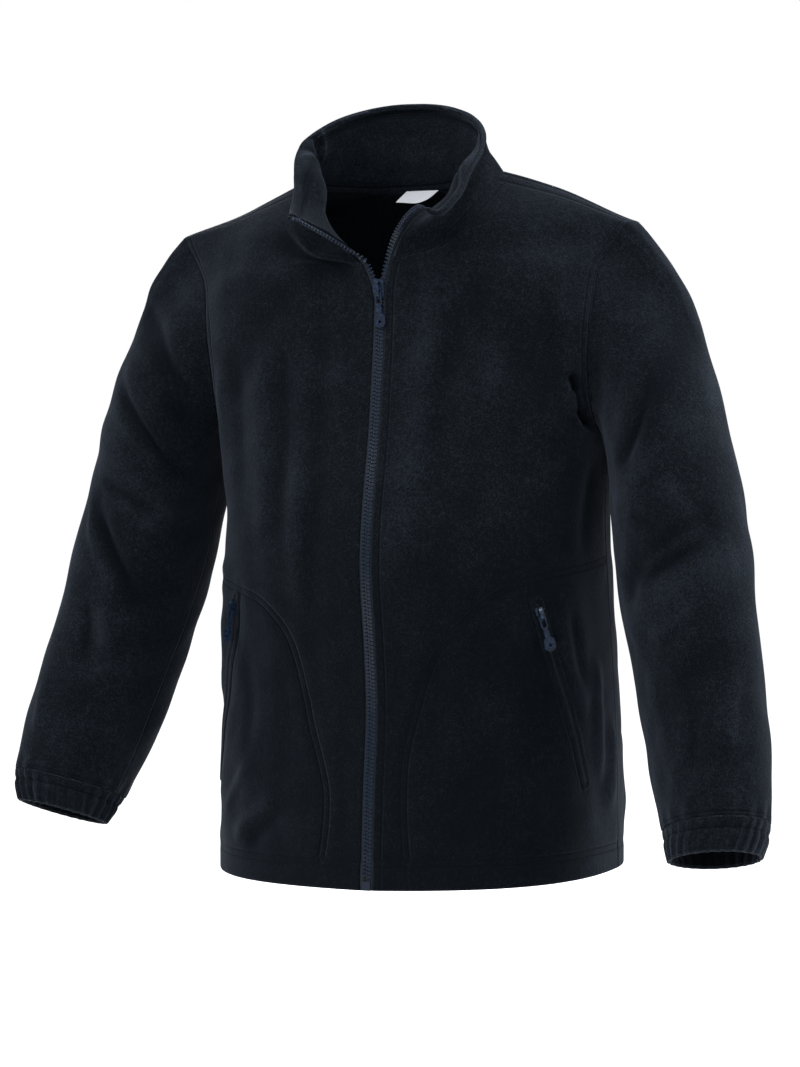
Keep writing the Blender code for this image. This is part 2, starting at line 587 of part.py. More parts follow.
# ---------------------------------------------------------------- sheets and walls
class Sheet:
    """A sheet of cloth points with triangles whose normals point out of the garment."""

    def __init__(self, name, points, triangles, thickness):
        self.name = name
        self.points = points
        self.triangles = triangles
        self.thickness = np.broadcast_to(thickness, len(points)).copy()
        self.facing = self.point_facing()
        self.normals = unit(self.facing)
        self.edges = self.open_edges()
        self.shift = np.zeros_like(points)
        self.sewn = set()

    def point_facing(self):
        """The way the sheet faces at each point, as long as the angle it fills there."""
        corners = self.points[self.triangles]
        faces = unit(np.cross(corners[:, 1] - corners[:, 0], corners[:, 2] - corners[:, 0]))
        facing = np.zeros_like(self.points)
        for k in range(3):
            one = unit(corners[:, (k + 1) % 3] - corners[:, k])
            two = unit(corners[:, (k + 2) % 3] - corners[:, k])
            angle = np.arccos(np.clip((one * two).sum(axis=1), -1.0, 1.0))
            np.add.at(facing, self.triangles[:, k], faces * angle[:, None])
        return facing

    def open_edges(self):
        """Directed edges that only one triangle uses."""
        used = set()
        for a, b, c in self.triangles:
            used.update(((a, b), (b, c), (c, a)))
        return [edge for edge in used if (edge[1], edge[0]) not in used]

    def inward(self):
        """For each open-edge point, the way from the edge into the sheet."""
        open_points = sorted({a for a, _ in self.edges})
        on_edge = set(open_points)
        ways = {point: np.zeros(3) for point in open_points}
        for triangle in self.triangles:
            for point in triangle:
                if point in on_edge:
                    for other in triangle:
                        ways[point] += unit(self.points[other] - self.points[point])
        return {point: unit(way) for point, way in ways.items()}

    def along_edge(self):
        """For each open-edge point, the way the edge runs there."""
        ways = {}
        for a, b in self.edges:
            step = unit(self.points[b] - self.points[a])
            ways[a] = ways.get(a, 0.0) + step
            ways[b] = ways.get(b, 0.0) + step
        return {point: unit(way) for point, way in ways.items()}


def grid_sheet(name, grid, thickness, flip=False, closed=False):
    """A sheet from rows of points; closed joins each row's end to its start."""
    rows, columns = grid.shape[:2]
    triangles = []
    for i in range(rows - 1):
        for j in range(columns if closed else columns - 1):
            k = (j + 1) % columns
            a, b = i * columns + j, i * columns + k
            c, d = a + columns, b + columns
            triangles.extend(((a, b, d), (a, d, c)))
    triangles = np.array(triangles)
    if flip:
        triangles = triangles[:, ::-1]
    return Sheet(name, grid.reshape(-1, 3), triangles, thickness)


def welded(sheet_a, sheet_b, name):
    """Two sheets as one, with points that coincide merged."""
    points = np.concatenate([sheet_a.points, sheet_b.points])
    thickness = np.concatenate([sheet_a.thickness, sheet_b.thickness])
    keys = {}
    target = []
    for index, point in enumerate(np.round(points, 6) + 0.0):
        target.append(keys.setdefault(tuple(point), index))
    kept = sorted(set(target))
    place = {old: new for new, old in enumerate(kept)}
    triangles = np.concatenate([sheet_a.triangles, sheet_b.triangles + len(sheet_a.points)])
    triangles = np.array([[place[target[p]] for p in triangle] for triangle in triangles])
    return Sheet(name, points[kept], triangles, thickness[kept])


def sew(sheets):
    """Where sheets meet, give them one shared wall direction and part them by the gap."""
    meeting = {}
    for sheet in sheets:
        runs = sheet.along_edge()
        for point, way in sheet.inward().items():
            key = tuple(np.round(sheet.points[point], 6) + 0.0)
            meeting.setdefault(key, []).append((sheet, point, way, runs[point]))
    for members in meeting.values():
        if len(members) < 2:
            continue
        shared = unit(sum(sheet.facing[point] for sheet, point, _, _ in members))
        depth = min(sheet.thickness[point] for sheet, point, _, _ in members)
        ways = [way for _, _, way, _ in members]
        for index, (sheet, point, way, run) in enumerate(members):
            others = sum(ways[:index] + ways[index + 1:]) / (len(members) - 1)
            apart = way - others
            if len(members) == 2:
                square = unit(np.cross(run, shared))
                apart = square * np.sign(square @ apart)
            else:
                apart = unit(apart - shared * (apart @ shared))
            sheet.shift[point] = apart * SEAM_GAP * 0.55
            sheet.normals[point] = shared
            sheet.thickness[point] = depth
            sheet.sewn.add(point)


def wall(sheet, colour, roughness=0.95):
    """Give a sheet its thickness, as one closed solid.

    Two sewn walls are split along the same diagonals, a free edge along the hollow ones.
    """
    outer = sheet.points + sheet.shift
    inner = outer - sheet.normals * sheet.thickness[:, None]
    count = len(outer)
    faces = [tuple(int(p) for p in t) for t in sheet.triangles]
    faces += [tuple(int(p) + count for p in t[::-1]) for t in sheet.triangles]
    places = [tuple(place) for place in np.round(sheet.points, 6) + 0.0]
    inward = sheet.inward()
    for a, b in sheet.edges:
        first = places[a] < places[b]
        if not {a, b} <= sheet.sewn:
            hollow = outer[b] + inner[a] - outer[a] - inner[b]
            first = hollow @ inward[a] > 0.0
        a, b = int(a), int(b)
        if first:
            faces.extend(((b, a, a + count), (b, a + count, b + count)))
        else:
            faces.extend(((b, a, b + count), (a, a + count, b + count)))
    return solid(sheet.name, np.concatenate([outer, inner]), faces, colour, roughness)


# ---------------------------------------------------------------- solids and materials
def finish(name, colour, roughness, metallic=0.0):
    material = bpy.data.materials.new(name)
    material.use_nodes = True
    shader = material.node_tree.nodes["Principled BSDF"]
    shader.inputs["Base Color"].default_value = (*colour, 1.0)
    shader.inputs["Roughness"].default_value = roughness
    shader.inputs["Metallic"].default_value = metallic
    material.diffuse_color = (*colour, 1.0)
    return material


def solid(name, points, faces, colour, roughness, metallic=0.0):
    """A mesh object at the origin, with its place in its mesh."""
    mesh = bpy.data.meshes.new(name)
    mesh.from_pydata([tuple(map(float, point)) for point in points], [], faces)
    mesh.validate()
    mesh.materials.append(finish(name, colour, roughness, metallic))
    mesh.shade_smooth()
    mesh.set_sharp_from_angle(angle=math.radians(40.0))
    piece = bpy.data.objects.new(name, mesh)
    bpy.context.scene.collection.objects.link(piece)
    return piece


def clear_scene():
    for old in list(bpy.data.objects):
        bpy.data.objects.remove(old, do_unlink=True)


def hem_thickness(grid):
    """Two layers of cloth over the turned-up hem, one layer above it."""
    above_hem = grid[..., 2] - grid[0, :, 2]
    return FLEECE + (HEM_FLEECE - FLEECE) * (1.0 - ease(above_hem, HEM_DEPTH, 2 * HEM_DEPTH)).ravel()


def build_cloth():
    """The body, sleeves, cuffs and collar."""
    front = front_grid()
    back = back_grid()
    loop, angles = armhole_loop(front, back)
    sleeve = sleeve_grid(loop, angles)
    sleeve_left = sleeve_folded(sleeve, angles, SLEEVE_FOLDS_LEFT)
    sleeve_right = sleeve_folded(sleeve, angles, SLEEVE_FOLDS_RIGHT)
    cuff = cuff_grid(angles)
    seam = neck_seam(front, back)
    front = panel_folded(front, row_heights(FRONT_NECK, FRONT_ROWS), FRONT_FOLDS, 1.0)
    back = panel_folded(back, row_heights(BACK_NECK, BACK_ROWS), BACK_FOLDS, -1.0)
    collar_rows = np.concatenate(
        [mirrored(collar_half(seam, COLLAR_RIGHT))[:, :0:-1], collar_half(seam, COLLAR_LEFT)], axis=1
    )
    sheets = [
        grid_sheet("front_left", settle(front), hem_thickness(front)),
        grid_sheet("front_right", settle(mirrored(front)), hem_thickness(front), flip=True),
        welded(
            grid_sheet("back", settle(back), hem_thickness(back), flip=True),
            grid_sheet("back", settle(mirrored(back)), hem_thickness(back)),
            "back",
        ),
        grid_sheet("sleeve_left", settle_arm(sleeve_left), FLEECE, closed=True, flip=True),
        grid_sheet("sleeve_right", settle_arm(mirrored(sleeve_right)), FLEECE, closed=True),
        grid_sheet("collar", settle(collar_rows), COLLAR_FLEECE, flip=True),
    ]
    square_zip_edges(sheets[:2])
    sew(sheets)
    cuffs = [
        grid_sheet("cuff_left", settle_arm(cuff), CUFF_FLEECE, closed=True, flip=True),
        grid_sheet("cuff_right", settle_arm(mirrored(cuff)), CUFF_FLEECE, closed=True),
    ]
    part_cuffs(sheets[3:5], cuffs, len(angles))
    for sheet in sheets + cuffs:
        wall(sheet, NAVY_FLEECE)
    return sheets


def square_zip_edges(fronts):
    """Turn the walls of both fronts straight back along the closed zip."""
    neck_row = sum(FRONT_ROWS[:-1])
    for front in fronts:
        edge = slice(0, neck_row * (HALF_COLUMNS + 1), HALF_COLUMNS + 1)
        front.normals[edge, 0] = 0.0
        front.normals[edge] = unit(front.normals[edge])


def part_cuffs(sleeves, cuffs, sleeve_points):
    """Square the cloth ends at each cuff seam and part them by the gap."""
    down = ring_frame(smooth(SLEEVE, SLEEVE[-1].along)[0])[3]
    for sleeve, cuff, axis in zip(sleeves, cuffs, (down, mirrored(down))):
        cuff_points = sleeve_points * CUFF_POINTS_PER_SLEEVE_POINT
        ends = ((sleeve, slice(-sleeve_points, None), -1.0), (cuff, slice(0, cuff_points), 1.0))
        for sheet, ring, sign in ends:
            flat = sheet.normals[ring] - np.outer(sheet.normals[ring] @ axis, axis)
            sheet.normals[ring] = unit(flat)
            sheet.shift[ring] = axis * sign * SEAM_GAP / 2.0


# ---------------------------------------------------------------- bars and plates
def hard_solid(name, points, faces, colour, roughness, metallic=0.0, origin=(0.0, 0.0, 0.0)):
    """A closed solid with its faces turned outwards and its object's origin where wanted."""
    local = np.array(points) - np.array(origin)
    piece = solid(name, local, faces, colour, roughness, metallic)
    piece.location = tuple(float(value) for value in origin)
    work = bmesh.new()
    work.from_mesh(piece.data)
    bmesh.ops.recalc_face_normals(work, faces=work.faces[:])
    work.to_mesh(piece.data)
    work.free()
    return piece


def swept(name, line, facing, section, colour, roughness, closed=False):
    """A bar whose section, (sideways, outwards) from a line, runs along that line."""
    steps = unit(np.roll(line, -1, axis=0) - line)
    before = np.roll(steps, 1, axis=0)
    if not closed:
        steps[-1] = steps[-2]
        before[0] = steps[0]
    run = unit(steps + before)
    out = unit(facing - run * (facing * run).sum(axis=1, keepdims=True))
    side = np.cross(run, out)
    section = np.array(section)
    rings = (
        line[:, None]
        + section[None, :, 0:1] * side[:, None]
        + section[None, :, 1:2] * out[:, None]
    )
    count, corners = rings.shape[:2]
    faces = []
    for i in range(count if closed else count - 1):
        for k in range(corners):
            a, b = i * corners + k, i * corners + (k + 1) % corners
            c, d = (a + corners) % (count * corners), (b + corners) % (count * corners)
            faces.extend(((a, b, d), (a, d, c)))
    if not closed:
        faces.append(tuple(range(corners)))
        faces.append(tuple(range((count - 1) * corners, count * corners)))
    return hard_solid(name, rings.reshape(-1, 3), faces, colour, roughness)


def rectangle(near, far, low, high, chamfer=0.0):
    """Corners of a bar's section, its four edges taken off by the chamfer."""
    if chamfer == 0.0:
        return [(near, low), (far, low), (far, high), (near, high)]
    c = chamfer
    return [
        (near + c, low), (far - c, low), (far, low + c), (far, high - c),
        (far - c, high), (near + c, high), (near, high - c), (near, low + c),
    ]


def plate(outline, holes, low, high):
    """Points and faces of a flat plate with holes in it."""
    loops = [outline] + holes
    flat = [corner for loop in loops for corner in loop]
    triangles = tessellate_polygon([[Vector((x, y, 0.0)) for x, y in loop] for loop in loops])
    count = len(flat)
    points = [(x, y, low) for x, y in flat] + [(x, y, high) for x, y in flat]
    faces = [tuple(k + count for k in triangle) for triangle in triangles]
    faces += [tuple(reversed(triangle)) for triangle in triangles]
    start = 0
    for loop in loops:
        for k in range(len(loop)):
            a, b = start + k, start + (k + 1) % len(loop)
            faces.append((a, b, b + count, a + count))
        start += len(loop)
    return np.array(points), faces


# ---------------------------------------------------------------- the front zip
def zip_edge(front, collar, collar_column):
    """Middle of the fleece's thickness along one side of the zip, hem to collar corner."""
    columns = HALF_COLUMNS + 1
    neck_row = sum(FRONT_ROWS[:-1])
    collar_columns = len(collar.points) // (COLLAR_ROWS + 1)
    picks = [(front, row * columns) for row in range(neck_row + 1)]
    picks += [(collar, row * collar_columns + collar_column) for row in range(1, COLLAR_ROWS + 1)]
    line = np.array([
        sheet.points[k] - sheet.normals[k] * sheet.thickness[k] / 2.0 for sheet, k in picks
    ])
    facing = np.array([sheet.normals[k] for sheet, k in picks])
    turned = ease(line[:, 2], ZIP_FLAT_BELOW, ZIP_TURNED_ABOVE)
    turned[neck_row:] = 1.0
    facing[:, 0] *= turned
    facing[:, 2] *= turned
    line[:neck_row] = front.points[[k for _, k in picks[:neck_row]]]
    line[:neck_row, 1] += FLEECE / 2.0
    share = (BOX_HEIGHT + BOX_GAP) / (line[1, 2] - line[0, 2])
    line[0] += (line[1] - line[0]) * share
    return line, unit(facing)


def build_front_zip(sheets):
    """Tapes, tooth rows, bottom box, slider and pull."""
    parts = {sheet.name: sheet for sheet in sheets}
    collar = parts["collar"]
    last = len(collar.points) // (COLLAR_ROWS + 1) - 1
    near = SEAM_GAP + TAPE_WIDTH + SEAM_GAP
    for side, column, sign in (("left", last, -1.0), ("right", 0, 1.0)):
        line, facing = zip_edge(parts["front_" + side], collar, column)
        tape = rectangle(SEAM_GAP, SEAM_GAP + TAPE_WIDTH, -TAPE_THICK / 2.0, TAPE_THICK / 2.0)
        teeth = rectangle(near, near + TEETH_WIDTH, -TEETH_THICK / 2.0, TEETH_THICK / 2.0,
                          TEETH_CHAMFER)
        for name, section, colour, roughness in (
            ("zip_tape_", tape, NAVY_TAPE, 0.8), ("zip_teeth_", teeth, BLUE_PLASTIC, 0.35)
        ):
            turned = [(sign * across, out) for across, out in section]
            swept(name + side, line, facing, turned, colour, roughness)
    front = parts["front_left"]
    hem = front.points[0]
    low, high = hem[2], hem[2] + BOX_HEIGHT
    middle_y = hem[1] + FLEECE / 2.0
    corners, faces = plate(
        [(-BOX_WIDTH / 2.0, low), (BOX_WIDTH / 2.0, low), (BOX_WIDTH / 2.0, high),
         (-BOX_WIDTH / 2.0, high)], [], -BOX_THICK / 2.0, BOX_THICK / 2.0)
    box = np.column_stack([corners[:, 0], middle_y - corners[:, 2], corners[:, 1]])
    hard_solid("zip_box", box, faces, BLUE_PLASTIC, 0.35)
    edge = front.points[::HALF_COLUMNS + 1][:sum(FRONT_ROWS[:-1]) + 1]
    middle_y = np.interp(SLIDER_HEIGHT, edge[:, 2], edge[:, 1]) + FLEECE / 2.0
    ends = settle([
        (0.0, middle_y, SLIDER_HEIGHT - FRONT_SLIDER.half_length),
        (0.0, middle_y, SLIDER_HEIGHT + FRONT_SLIDER.half_length),
    ])
    up = unit(ends[1] - ends[0])
    build_slider("zip", FRONT_SLIDER, (ends[0] + ends[1]) / 2.0, up, np.array([0.0, -1.0, 0.0]),
                 with_back=True)


def arch_outline(size):
    """The slider's arch seen from the side, (along, outwards) from the slider's middle."""
    base = size.rise + size.plate / 2.0
    inner = ARCH_CORNER + ARCH_THICK * 0.4
    return [
        (size.low, base), (size.low, size.top - ARCH_CORNER),
        (size.low + ARCH_CORNER, size.top), (size.high - ARCH_CORNER, size.top),
        (size.high, size.top - ARCH_CORNER), (size.high, base),
        (size.high - ARCH_THICK, base), (size.high - ARCH_THICK, size.top - inner),
        (size.high - inner, size.top - ARCH_THICK), (size.low + inner, size.top - ARCH_THICK),
        (size.low + ARCH_THICK, size.top - inner), (size.low + ARCH_THICK, base),
    ]


def joined_on(base, extra):
    """Join a second solid to a first one, which stays the visible piece."""
    extra.hide_render = True
    extra.display_type = "WIRE"
    union = base.modifiers.new(extra.name, "BOOLEAN")
    union.operation = "UNION"
    union.solver = "EXACT"
    union.object = extra


def build_slider(name, size, middle, up, out, with_back):
    """A slider with its arch, and its pull hanging from the arch."""
    out = unit(out - up * (out @ up))
    across = np.cross(up, out)
    wide, long = size.half_width, size.half_length
    outline = [
        (-0.6 * wide, -long), (0.6 * wide, -long), (0.85 * wide, -0.8 * long),
        (wide, -0.2 * long), (wide, 0.7 * long), (0.75 * wide, long),
        (-0.75 * wide, long), (-wide, 0.7 * long), (-wide, -0.2 * long),
        (-0.85 * wide, -0.8 * long),
    ]

    def placed(points):
        return middle + points @ np.array([across, up, out])

    def made(suffix, corners, faces):
        return hard_solid(name + suffix, placed(corners), faces, BLUE_METAL, 0.3, 0.8)

    body = made("_slider", *plate(outline, [], size.rise, size.rise + size.plate))
    corners, faces = plate(arch_outline(size), [], -ARCH_HALF_WIDTH, ARCH_HALF_WIDTH)
    joined_on(body, made("_slider_arch", corners[:, [2, 0, 1]], faces))
    if with_back:
        joined_on(body, made("_slider_wedge", *plate(WEDGE, [], -size.rise - 0.0006, size.rise + 0.0006)))
        joined_on(body, made("_slider_back", *plate(outline, [], -size.rise - size.plate, -size.rise)))
    hinge = middle + up * size.hinge_at + out * size.hinge_rise
    build_pull(name + "_pull", hinge, across)


def build_pull(name, hinge, across):
    """The pull, hanging straight down as its hinge lets it, its origin on the hinge."""
    down = np.array([0.0, 0.0, -1.0])
    down = unit(down - across * (down @ across))
    out = np.cross(down, across)
    right = [(half, distance) for distance, half in PULL]
    outline = right + [(-half, distance) for half, distance in reversed(right)]
    start, end, half = PULL_LOOP
    loop = [(-half, start), (half, start), (half, end), (-half, end)]
    turns = np.linspace(0.0, 2.0 * math.pi, PULL_HOLE_SIDES, endpoint=False)
    hole = [
        (PULL_HOLE_RADIUS * math.cos(turn), PULL_HOLE_DOWN + PULL_HOLE_RADIUS * math.sin(turn))
        for turn in turns
    ]
    corners, faces = plate(outline, [loop, hole], -PULL_THICK / 2.0, PULL_THICK / 2.0)
    points = hinge + corners @ np.array([across, down, out])
    hard_solid(name, points, faces, BLUE_METAL, 0.3, 0.8, origin=hinge)


# ---------------------------------------------------------------- pockets and label
def on_panel(sheet, spot):
    """The point of a front at a spot of its facets, and the way the front faces there."""
    heights = np.array(row_heights(FRONT_NECK, FRONT_ROWS))
    grid = sheet.points.reshape(len(heights), HALF_COLUMNS + 1, 3)
    facing = sheet.normals.reshape(grid.shape)
    v, across = spot
    row = int(np.searchsorted(heights, v, side="right")) - 1
    t = (v - heights[row]) / (heights[row + 1] - heights[row])
    low, high = (np.linalg.norm(np.diff(grid[k], axis=0), axis=1).sum() for k in (row, row + 1))
    column = across / ((1.0 - t) * low + t * high) * HALF_COLUMNS
    j = int(column)
    s = column - j
    a, b, c, d = (grid[row, j], grid[row, j + 1], grid[row + 1, j], grid[row + 1, j + 1])
    point = a + s * (b - a) + t * (d - b) if s >= t else a + t * (c - a) + s * (d - c)
    blend = (
        (1 - t) * ((1 - s) * facing[row, j] + s * facing[row, j + 1])
        + t * ((1 - s) * facing[row + 1, j] + s * facing[row + 1, j + 1])
    )
    return point, unit(blend)


def pocket_ring(distance):
    """Spots all round the pocket's middle line, at this distance from it."""
    middle = smooth(POCKET_LINE[::-1], np.linspace(POCKET_LINE[-1].v, POCKET_LINE[0].v, 41))
    flat = np.column_stack([
        np.linspace(POCKET_LINE[-1].v, POCKET_LINE[0].v, 41) * BODY_LENGTH, middle[:, 0],
        np.zeros(41),
    ])
    length = np.linalg.norm(np.diff(flat, axis=0), axis=1).sum()
    flat = spaced(flat, int(length / POCKET_SECTION))[:, :2]
    run = unit(np.gradient(flat, axis=0))
    side = np.column_stack([-run[:, 1], run[:, 0]])
    turns = np.linspace(0.0, math.pi, 7)[1:-1, None]
    top = flat[-1] + distance * (side[-1] * np.cos(turns) + run[-1] * np.sin(turns))
    foot = flat[0] + distance * (-side[0] * np.cos(turns) - run[0] * np.sin(turns))
    ring = np.concatenate([
        flat + side * distance, top, (flat - side * distance)[::-1], foot,
    ])
    return [Spot(v / BODY_LENGTH, across) for v, across in ring], flat


def build_pocket(front, side):
    """The pocket's lip all round its slot, the zip in the slot, its slider and pull."""
    def line_of(spots):
        found = [on_panel(front, spot) for spot in spots]
        facing = np.array([way for _, way in found])
        return np.array([point for point, _ in found]) + facing * TRIM_LIFT, facing

    ring, middle = pocket_ring(WELT_FROM_MIDDLE)
    half = WELT_WIDTH / 2.0
    lip = [
        (-half, 0.0), (half, 0.0), (half, WELT_THICK - LIP_CHAMFER),
        (half - LIP_CHAMFER, WELT_THICK), (LIP_CHAMFER - half, WELT_THICK),
        (-half, WELT_THICK - LIP_CHAMFER),
    ]
    swept("pocket_lip_" + side, *line_of(ring), lip, NAVY_TAPE, 0.6, closed=True)
    spots = [Spot(v / BODY_LENGTH, across) for v, across in middle]
    half = POCKET_TEETH_WIDTH / 2.0
    line, facing = line_of(spots)
    swept("pocket_zip_" + side, line, facing,
          rectangle(-half, half, 0.0, POCKET_TEETH_THICK), BLUE_PLASTIC, 0.35)
    steps = np.linalg.norm(np.diff(line, axis=0), axis=1)
    from_top = steps.sum() - np.concatenate([[0.0], np.cumsum(steps)])
    centre = np.array([
        np.interp(-POCKET_SLIDER_DOWN, -from_top, line[:, k]) for k in range(3)
    ])
    up = unit(line[-1] - line[-4])
    build_slider("pocket_" + side, POCKET_SLIDER, centre, up, facing[-2], with_back=False)


def build_label():
    """The woven label, sewn on at the back neck seam and left bare."""
    rows = np.array([[(left, y, z), (right, y, z)] for left, right, y, z in LABEL])
    slope = unit(rows[0, 0] - rows[-1, 0])
    lift = np.cross(np.array([1.0, 0.0, 0.0]), slope) * LABEL_THICK
    corners = np.concatenate([rows.reshape(-1, 3), rows.reshape(-1, 3) + lift])
    half = len(corners) // 2
    faces = []
    for k in range(len(rows) - 1):
        a, b, c, d = 2 * k, 2 * k + 1, 2 * k + 3, 2 * k + 2
        faces += [(a, b, c, d), (a + half, b + half, c + half, d + half)]
        faces += [(a, d, d + half, a + half), (b, c, c + half, b + half)]
    last = half - 2
    faces += [(0, 1, 1 + half, half), (last, last + 1, last + 1 + half, last + half)]
    hard_solid("neck_label", corners, faces, WHITE_WEAVE, 0.7)


def main():
    clear_scene()
    sheets = build_cloth()
    build_front_zip(sheets)
    build_pocket(sheets[0], "left")
    build_pocket(sheets[1], "right")
    build_label()


main()
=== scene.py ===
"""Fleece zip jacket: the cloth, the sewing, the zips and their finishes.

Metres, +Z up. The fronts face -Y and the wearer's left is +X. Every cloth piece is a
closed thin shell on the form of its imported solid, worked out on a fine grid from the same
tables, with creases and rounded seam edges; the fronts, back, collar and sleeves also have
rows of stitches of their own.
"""

import logging
import math
from collections.abc import Sequence
from dataclasses import dataclass, field
from enum import Enum
from functools import cached_property
from typing import NamedTuple

import bpy
import numpy as np
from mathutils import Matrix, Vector


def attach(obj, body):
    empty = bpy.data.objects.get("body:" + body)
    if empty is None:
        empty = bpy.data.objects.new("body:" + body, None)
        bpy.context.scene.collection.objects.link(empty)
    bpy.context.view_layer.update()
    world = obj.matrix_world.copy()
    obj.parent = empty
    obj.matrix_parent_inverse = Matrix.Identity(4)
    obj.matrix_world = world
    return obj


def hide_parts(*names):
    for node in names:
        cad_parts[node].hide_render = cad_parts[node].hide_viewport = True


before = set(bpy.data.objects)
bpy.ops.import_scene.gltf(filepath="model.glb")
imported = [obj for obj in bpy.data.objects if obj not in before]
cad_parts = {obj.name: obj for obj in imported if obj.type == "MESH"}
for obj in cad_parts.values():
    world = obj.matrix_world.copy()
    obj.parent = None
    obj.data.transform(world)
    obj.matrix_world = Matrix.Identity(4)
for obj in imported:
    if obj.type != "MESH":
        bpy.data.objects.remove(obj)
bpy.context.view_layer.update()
LOG = logging.getLogger("jacket")
GARMENT = "garment"


# ---------------------------------------------------------------- tables of the pattern
class Edge(NamedTuple):
    """A point of a panel's edge at the row of height v (0 hem, 1 shoulder)."""

    v: float
    x: float
    y: float
    z: float


class Cut(NamedTuple):
    """Where the armhole cuts a row, as a share of its length, and where the row aims."""

    v: float
    front: float
    back: float
    aim_front: float
    aim_back: float


class Slope(NamedTuple):
    """The side line's v that a row of the back runs down to."""

    v: float
    side: float


class Spread(NamedTuple):
    """How a row leaves its inner edge and meets its outer edge, in degrees."""

    v: float
    leave: float
    meet: float
    full: float
    early: float


class Ring(NamedTuple):
    """One ring of a sleeve or cuff."""

    along: float
    x_outer: float
    z_outer: float
    x_under: float
    z_under: float
    y: float
    deep: float
    fore: float
    skew: float


class Rim(NamedTuple):
    """A point of the collar's folded top edge, from centre back (0) to the zip (1)."""

    t: float
    x: float
    y: float
    z: float
    pull_in: float
    pull_up: float


class Crease(NamedTuple):
    """A soft ridge (height above 0) or trough along a bent line, in metres of the cloth."""

    height: float
    width: float
    path: tuple[tuple[float, float], ...]


def creases(*rows: tuple[float, ...]) -> tuple[Crease, ...]:
    """Creases from rows of a height, a width and the path's numbers, two for each point."""
    return tuple(Crease(row[0], row[1], tuple(zip(row[2::2], row[3::2]))) for row in rows)


BODY_LENGTH = 0.70
SLEEVE_RADIUS = 0.075
UNDERARM = 0.62
UNDERARM_TURN = 0.66
FRONT_NECK = 0.865
BACK_NECK = 0.955
ROW_SCALE = (BODY_LENGTH, 1.0)
NEEDLE_GAUGE = 0.0064
ARMHOLE_SEWING = 0.0050
SHOULDER_SEWING = 0.0060
CUFF_SEWING = 0.0030
HEM_SEWING = 0.025
NO_SEWING = 0.05

CENTRE_FRONT = (
    Edge(0.000, 0.0062, -0.0970, -0.697), Edge(0.120, 0.0062, -0.0915, -0.612),
    Edge(0.260, 0.0062, -0.0835, -0.514), Edge(0.330, 0.0062, -0.0885, -0.465),
    Edge(0.455, 0.0062, -0.0996, -0.378), Edge(0.540, 0.0062, -0.0915, -0.320),
    Edge(0.620, 0.0062, -0.0780, -0.262), Edge(0.700, 0.0062, -0.0695, -0.208),
    Edge(0.770, 0.0062, -0.0630, -0.160), Edge(0.800, 0.0062, -0.0614, -0.138),
    Edge(0.825, 0.0064, -0.0603, -0.120), Edge(0.865, 0.0148, -0.0610, -0.090),
)
FRONT_NECKLINE = (
    Edge(0.865, 0.0148, -0.0610, -0.0900), Edge(0.885, 0.0300, -0.0615, -0.0845),
    Edge(0.910, 0.0600, -0.0595, -0.0775), Edge(0.935, 0.0815, -0.0530, -0.0600),
    Edge(0.960, 0.0975, -0.0400, -0.0395), Edge(0.980, 0.1075, -0.0170, -0.0175),
    Edge(1.000, 0.1115, 0.0060, 0.0000),
)
CENTRE_BACK = (
    Edge(0.000, 0.0, 0.2160, -0.702), Edge(0.120, 0.0, 0.2070, -0.612),
    Edge(0.260, 0.0, 0.1970, -0.514), Edge(0.400, 0.0, 0.1880, -0.416),
    Edge(0.540, 0.0, 0.1820, -0.318), Edge(0.620, 0.0, 0.1795, -0.262),
    Edge(0.720, 0.0, 0.1710, -0.190), Edge(0.800, 0.0, 0.1520, -0.130),
    Edge(0.870, 0.0, 0.1190, -0.075), Edge(0.930, 0.0, 0.0830, -0.033),
    Edge(0.955, 0.0, 0.0555, -0.007),
)
BACK_NECKLINE = (
    Edge(0.955, 0.0000, 0.0555, -0.0070), Edge(0.967, 0.0330, 0.0535, -0.0065),
    Edge(0.978, 0.0660, 0.0440, -0.0050), Edge(0.989, 0.0940, 0.0270, -0.0025),
    Edge(1.000, 0.1115, 0.0060, 0.0000),
)
SIDE_LINE = (
    Edge(0.000, 0.2100, 0.058, -0.6930), Edge(0.120, 0.2095, 0.055, -0.6110),
    Edge(0.260, 0.2065, 0.050, -0.5140), Edge(0.400, 0.2015, 0.044, -0.4160),
    Edge(0.540, 0.2000, 0.038, -0.3180), Edge(0.620, 0.2060, 0.032, -0.2620),
    Edge(0.700, 0.2190, 0.031, -0.2080), Edge(0.770, 0.2320, 0.030, -0.1600),
    Edge(0.830, 0.2390, 0.029, -0.1220), Edge(0.900, 0.2425, 0.027, -0.0850),
    Edge(0.960, 0.2435, 0.026, -0.0590), Edge(1.000, 0.2430, 0.025, -0.0490),
)
ARMHOLE = (
    Cut(0.620, 1.000, 1.000, 0.000, 0.000), Cut(0.640, 0.885, 0.900, 0.000, 0.000),
    Cut(0.670, 0.825, 0.842, 0.000, 0.000), Cut(0.700, 0.795, 0.810, 0.000, 0.000),
    Cut(0.745, 0.768, 0.775, 0.000, 0.000), Cut(0.790, 0.765, 0.768, 0.001, 0.003),
    Cut(0.830, 0.785, 0.785, 0.004, 0.010), Cut(0.870, 0.823, 0.830, 0.009, 0.021),
    Cut(0.915, 0.880, 0.892, 0.015, 0.030), Cut(0.960, 0.945, 0.952, 0.018, 0.028),
    Cut(0.985, 0.980, 0.984, 0.013, 0.017), Cut(1.000, 1.000, 1.000, 0.000, 0.000),
)
BACK_SLOPE = (
    Slope(0.620, 0.620), Slope(0.709, 0.709), Slope(0.807, 0.800), Slope(0.906, 0.872),
    Slope(0.955, 0.908), Slope(0.982, 0.950), Slope(1.000, 1.000),
)
